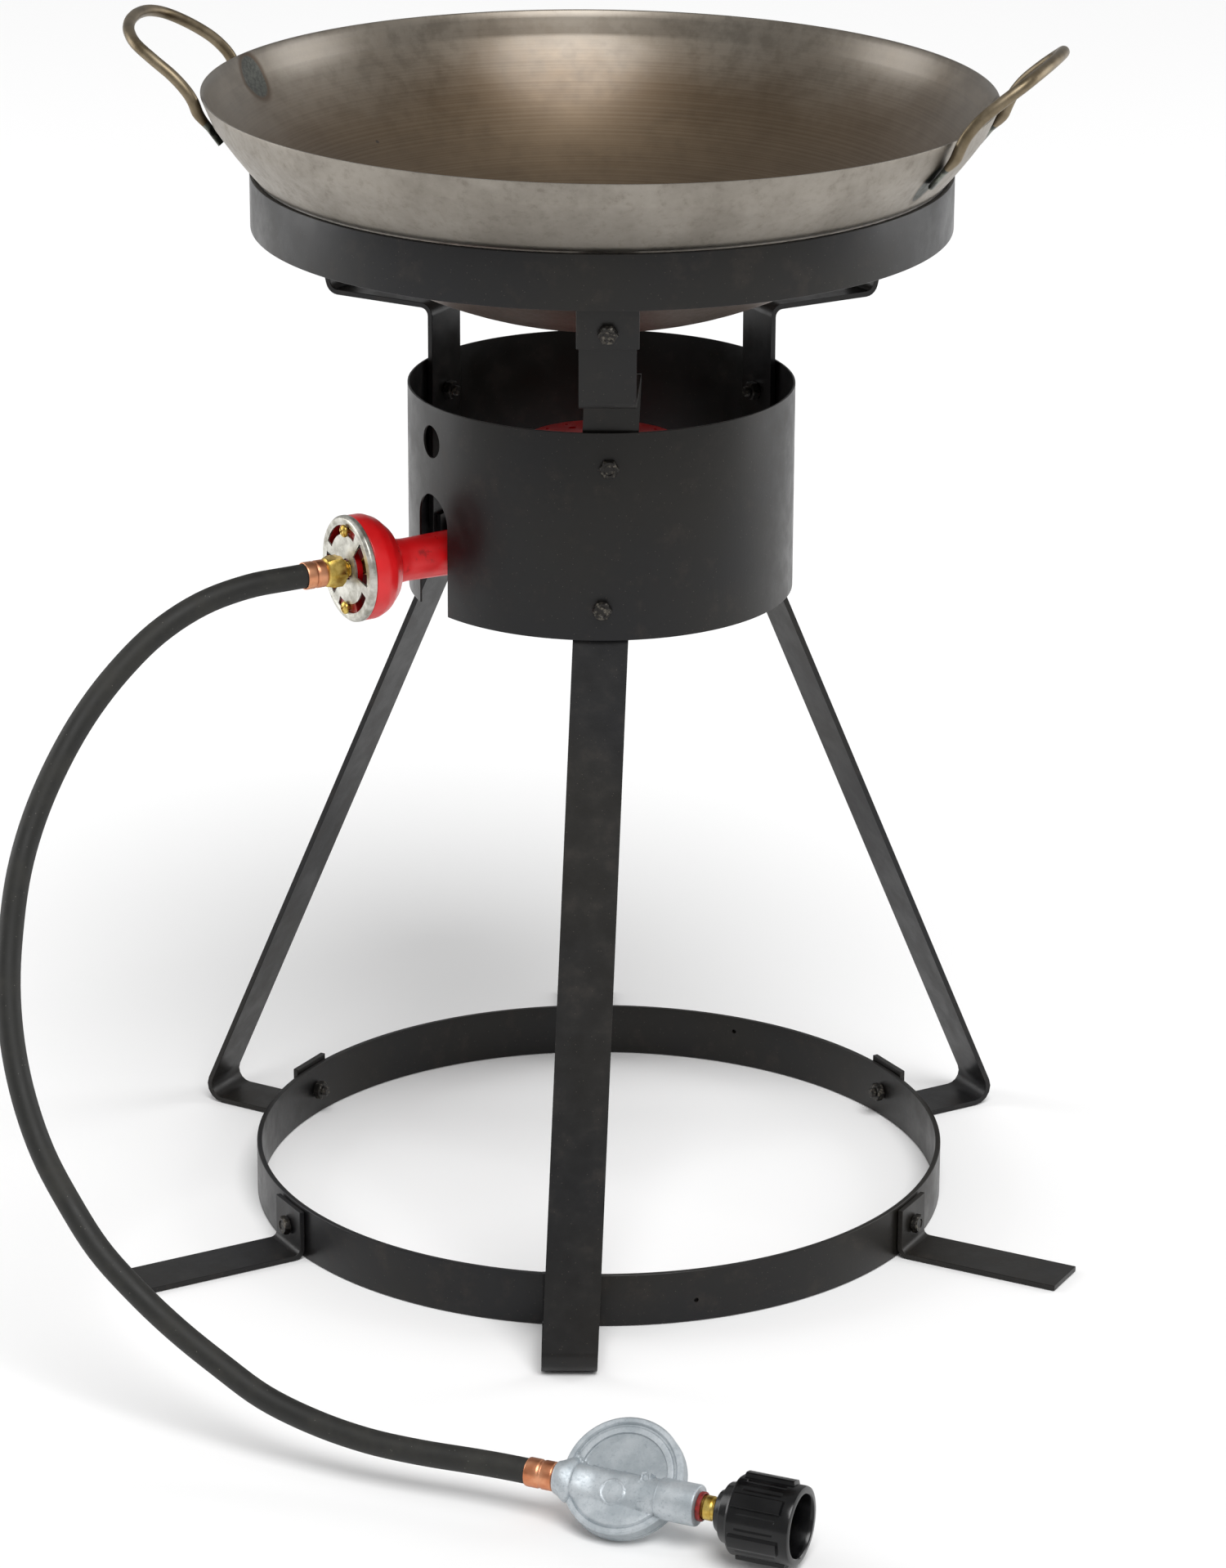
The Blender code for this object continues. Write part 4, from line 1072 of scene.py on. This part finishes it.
def make_hand_nut():
    """Stepped cone and ribbed barrel, open at the cylinder's end."""

    def ribs(angle, r, z):
        if r < NUT_R:
            return r
        out = r
        off = abs((angle % (math.pi / 3)) - math.pi / 6)
        if RIB_Z[0] < z < RIB_Z[1]:
            out += RIB_H * (1 - ease(off, RIB_HALF * 0.8, RIB_HALF * 1.05))
        if GROOVE_Z[0] < z < GROOVE_Z[1]:
            out -= GROOVE_DEPTH * (1 - ease(abs(off - GROOVE_AT), *GROOVE_HALF))
        return out

    barrel = (156.0, 152.0, 151.5, 149.2, 148.8, 140.0, 130.0, 127.2, 126.8, 124.2, 123.6, 122.6)
    profile = [(20.2, 157.4), (21.2, 157.0)] + [(NUT_R, z) for z in barrel]
    profile += [(21.0, 121.6), (17.4, 120.4), (17.0, 119.8), (16.4, 116.2), (15.8, 115.4),
                (12.4, 114.8), (12.0, 114.2), (11.3, 111.8), (10.8, 111.2), (8.6, 110.2),
                (8.0, 110.0), (6.9, 110.0), (6.9, 124.4), (16.0, 124.4), (16.8, 130.0),
                (16.8, 155.4), (17.4, 157.0), (18.0, 157.4)]
    piece("hand_nut", turned(profile, 180, swell=ribs), REGULATOR, looks["nut_plastic"], 30)


# ---------------------------------------------------------------- wok
def wok_wall(radius, thick_in, count):
    """Half profile of one face of the pan, from below the rim down to the bowl's middle."""
    crease = WOK_CREASE_Z - WOK_CENTRE_Z
    rim = WOK_RIM_Z - WOK_CENTRE_Z
    top = Vector((WOK_R - thick_in, rim))
    start = math.asin(crease / radius)
    bend = Vector((radius * math.cos(start), crease))
    out = [tuple(top.lerp(bend, share)) for share in (0.04, 0.3, 0.6, 0.88)]
    for k in range(count + 1):
        a = start + (-math.pi / 2 - start) * k / count
        out.append((radius * math.cos(a), radius * math.sin(a)))
    out[-1] = (0.0, -radius)
    return out


def handle_points(label):
    """Half of a handle's centre line, from the weld to the top of the loop."""
    rise = Matrix.Rotation(math.radians(HANDLE_RISE[label]), 2)
    out = []
    for r, s, z in HANDLE_PATH:
        reach = Vector((r, z)) - Vector(HANDLE_BEND)
        if reach.x > 0:
            reach = rise @ reach
        r, z = reach + Vector(HANDLE_BEND)
        out.append(Vector((s, -r, z - WOK_CENTRE_Z)))
    return out


def handle_homes():
    """The frame of each handle: -Y points out through the middle of the loop."""
    return {label: WOK @ Matrix.Rotation(math.radians(az), 4, "Z")
            for label, az in HANDLE_AZ.items()}


def weld_marks(radius, slide, half):
    """Ellipsoids on the wall where each handle end is welded: frames and half sizes."""
    out = []
    for az in HANDLE_AZ.values():
        for side in (-1, 1):
            swing = math.asin(WELD_SIDE / WELD_R) * side
            low = math.acos((WELD_R + slide) / radius)
            turn = (Matrix.Rotation(math.radians(az) + swing, 4, "Z")
                    @ Matrix.Rotation(low, 4, "X"))
            spot = turn @ Matrix.Translation((0, -radius * MM, 0))
            out.append((WOK @ spot, half))
    return out


def make_wok():
    rim = WOK_RIM_Z - WOK_CENTRE_Z
    outer = wok_wall(WOK_SPHERE_R, 0.0, 28)
    inner = wok_wall(WOK_SPHERE_R - WOK_T, WOK_T, 28)
    lip = [(WOK_R - WOK_T * 0.8, rim - 0.1), (WOK_R - WOK_T * 0.5, rim),
           (WOK_R - WOK_T * 0.2, rim - 0.1)]
    pan = turned(list(reversed(inner)) + lip + outer, 200, closed=False)
    ob = piece("wok_pan", pan, WOK, looks["wok_inside"], 50)
    up = WOK.inverted()
    second_look(ob, looks["wok_outside"],
                lambda poly: poly.normal.dot(WOK.to_3x3() @ (up @ poly.center)) > 0)


def make_handles():
    for label, home in handle_homes().items():
        near = handle_points(label)
        far = [Vector((-p.x, p.y, p.z)) for p in reversed(near[:-1])]
        pts = [near[0] * 2 - near[1], *near, *far, far[-1] * 2 - far[-2]]
        path = smooth_route(pts, 6)
        along = [0.0]
        for a, b in zip(path, path[1:]):
            along.append(along[-1] + (b - a).length)
        sizes = []
        placed = []
        for point, run in zip(path, along):
            press = 1 - ease(min(run, along[-1] - run), 9.0, 24.0)
            sizes.append((HANDLE_WIRE_R + 1.9 * press, HANDLE_WIRE_R - 1.7 * press))
            inward = -point.normalized()
            placed.append(point + inward * 2.0 * press)
        bm = sweep(placed, sizes, Vector((1, 0, 0)))
        ob = piece("wok_handle_" + label, bm, home, looks["handle_bronze"], 50)
        ends = [home @ (placed[0] * MM), home @ (placed[-1] * MM)]
        second_look(ob, looks["weld_grey"], lambda poly: min(
            (poly.center - end).length for end in ends) < BLACKENED * MM)


# ---------------------------------------------------------------- the object
looks = {make.__name__: make() for make in (
    black_paint, dark_zinc, shutter_zinc, handle_bronze, weld_grey, brass, copper, hose_rubber,
    cast_zinc, nut_plastic, red_seal, spring_steel)}
looks["red_paint"] = red_paint("red_paint", 0.0)
# Painted shade: a darker copy of the red paint for the mouth behind the shutter.
looks["red_mouth_painted_shade"] = red_paint("red_mouth_painted_shade", 0.62)
looks["wok_inside"] = wok_inside(weld_marks(WOK_SPHERE_R, 7.0, (0.0125, 0.008, 0.0155)))
looks["wok_outside"] = wok_outside(weld_marks(WOK_SPHERE_R, -1.0, (0.0085, 0.008, 0.014)))

hose, hose_length = make_hose(looks["hose_rubber"])
make_rings()
for bar_node in ("leg_front", "leg_left", "leg_right", "foot_back", "foot_front_left",
                 "foot_front_right", "ring_tab_front", "ring_tab_left", "ring_tab_right",
                 "burner_bracket"):
    refined(bar_node, looks["black_paint"])
make_bolts()
make_burner()
make_shutter()
make_fitting()
make_regulator()
make_hand_nut()
make_wok()
make_handles()
for hidden, look in (("regulator_spring", "spring_steel"),
                     ("regulator_diaphragm", "hose_rubber")):
    for held in nodes[hidden].material_slots:
        held.material = looks[look]

# ---------------------------------------------------------------- floor and light
FLOOR_R = 40.0
FLOOR_DROP = 0.0005
SKY = 0.42
KEY_FROM = (0.15, -0.55, 0.9)
KEY_SPREAD = 34
KEY_POWER = 2.1
SIDE_PLACE = (3.2, 0.9, 1.3)
SIDE_SIZE = (1.6, 2.4)
SIDE_POWER = 40
AIM = (0, 0, 0.5)


def make_floor():
    bm = bmesh.new()
    bmesh.ops.create_circle(bm, cap_ends=True, segments=96, radius=FLOOR_R)
    mesh = bpy.data.meshes.new("floor")
    bm.to_mesh(mesh)
    bm.free()
    floor = bpy.data.objects.new("floor", mesh)
    floor.location.z = -FLOOR_DROP
    scene.collection.objects.link(floor)
    mesh.materials.append(Look("floor_white", tone(246, 246, 246), 0.0, 0.9).material)


def area_light(name, place, target, width, height, power):
    data = bpy.data.lights.new(name, "AREA")
    data.shape = "RECTANGLE"
    data.size = width
    data.size_y = height
    data.energy = power
    ob = bpy.data.objects.new(name, data)
    scene.collection.objects.link(ob)
    ob.location = place
    ob.rotation_mode = "QUATERNION"
    ob.rotation_quaternion = (Vector(target) - Vector(place)).to_track_quat("-Z", "Y")


def sun_light(name, toward, spread, power):
    """Even light from far off; spread is its size in degrees as the object sees it."""
    data = bpy.data.lights.new(name, "SUN")
    data.angle = math.radians(spread)
    data.energy = power
    ob = bpy.data.objects.new(name, data)
    scene.collection.objects.link(ob)
    ob.rotation_mode = "QUATERNION"
    ob.rotation_quaternion = Vector(toward).to_track_quat("Z", "Y")


scene.view_settings.view_transform = "Standard"
make_floor()
world = bpy.data.worlds.new("studio")
scene.world = world
world.use_nodes = True
world.node_tree.nodes["Background"].inputs["Color"].default_value = (1.0, 1.0, 1.0, 1.0)
world.node_tree.nodes["Background"].inputs["Strength"].default_value = SKY
sun_light("key", KEY_FROM, KEY_SPREAD, KEY_POWER)
for light_name, side in (("left", -1), ("right", 1)):
    area_light(light_name, (side * SIDE_PLACE[0], *SIDE_PLACE[1:]), AIM, *SIDE_SIZE, SIDE_POWER)
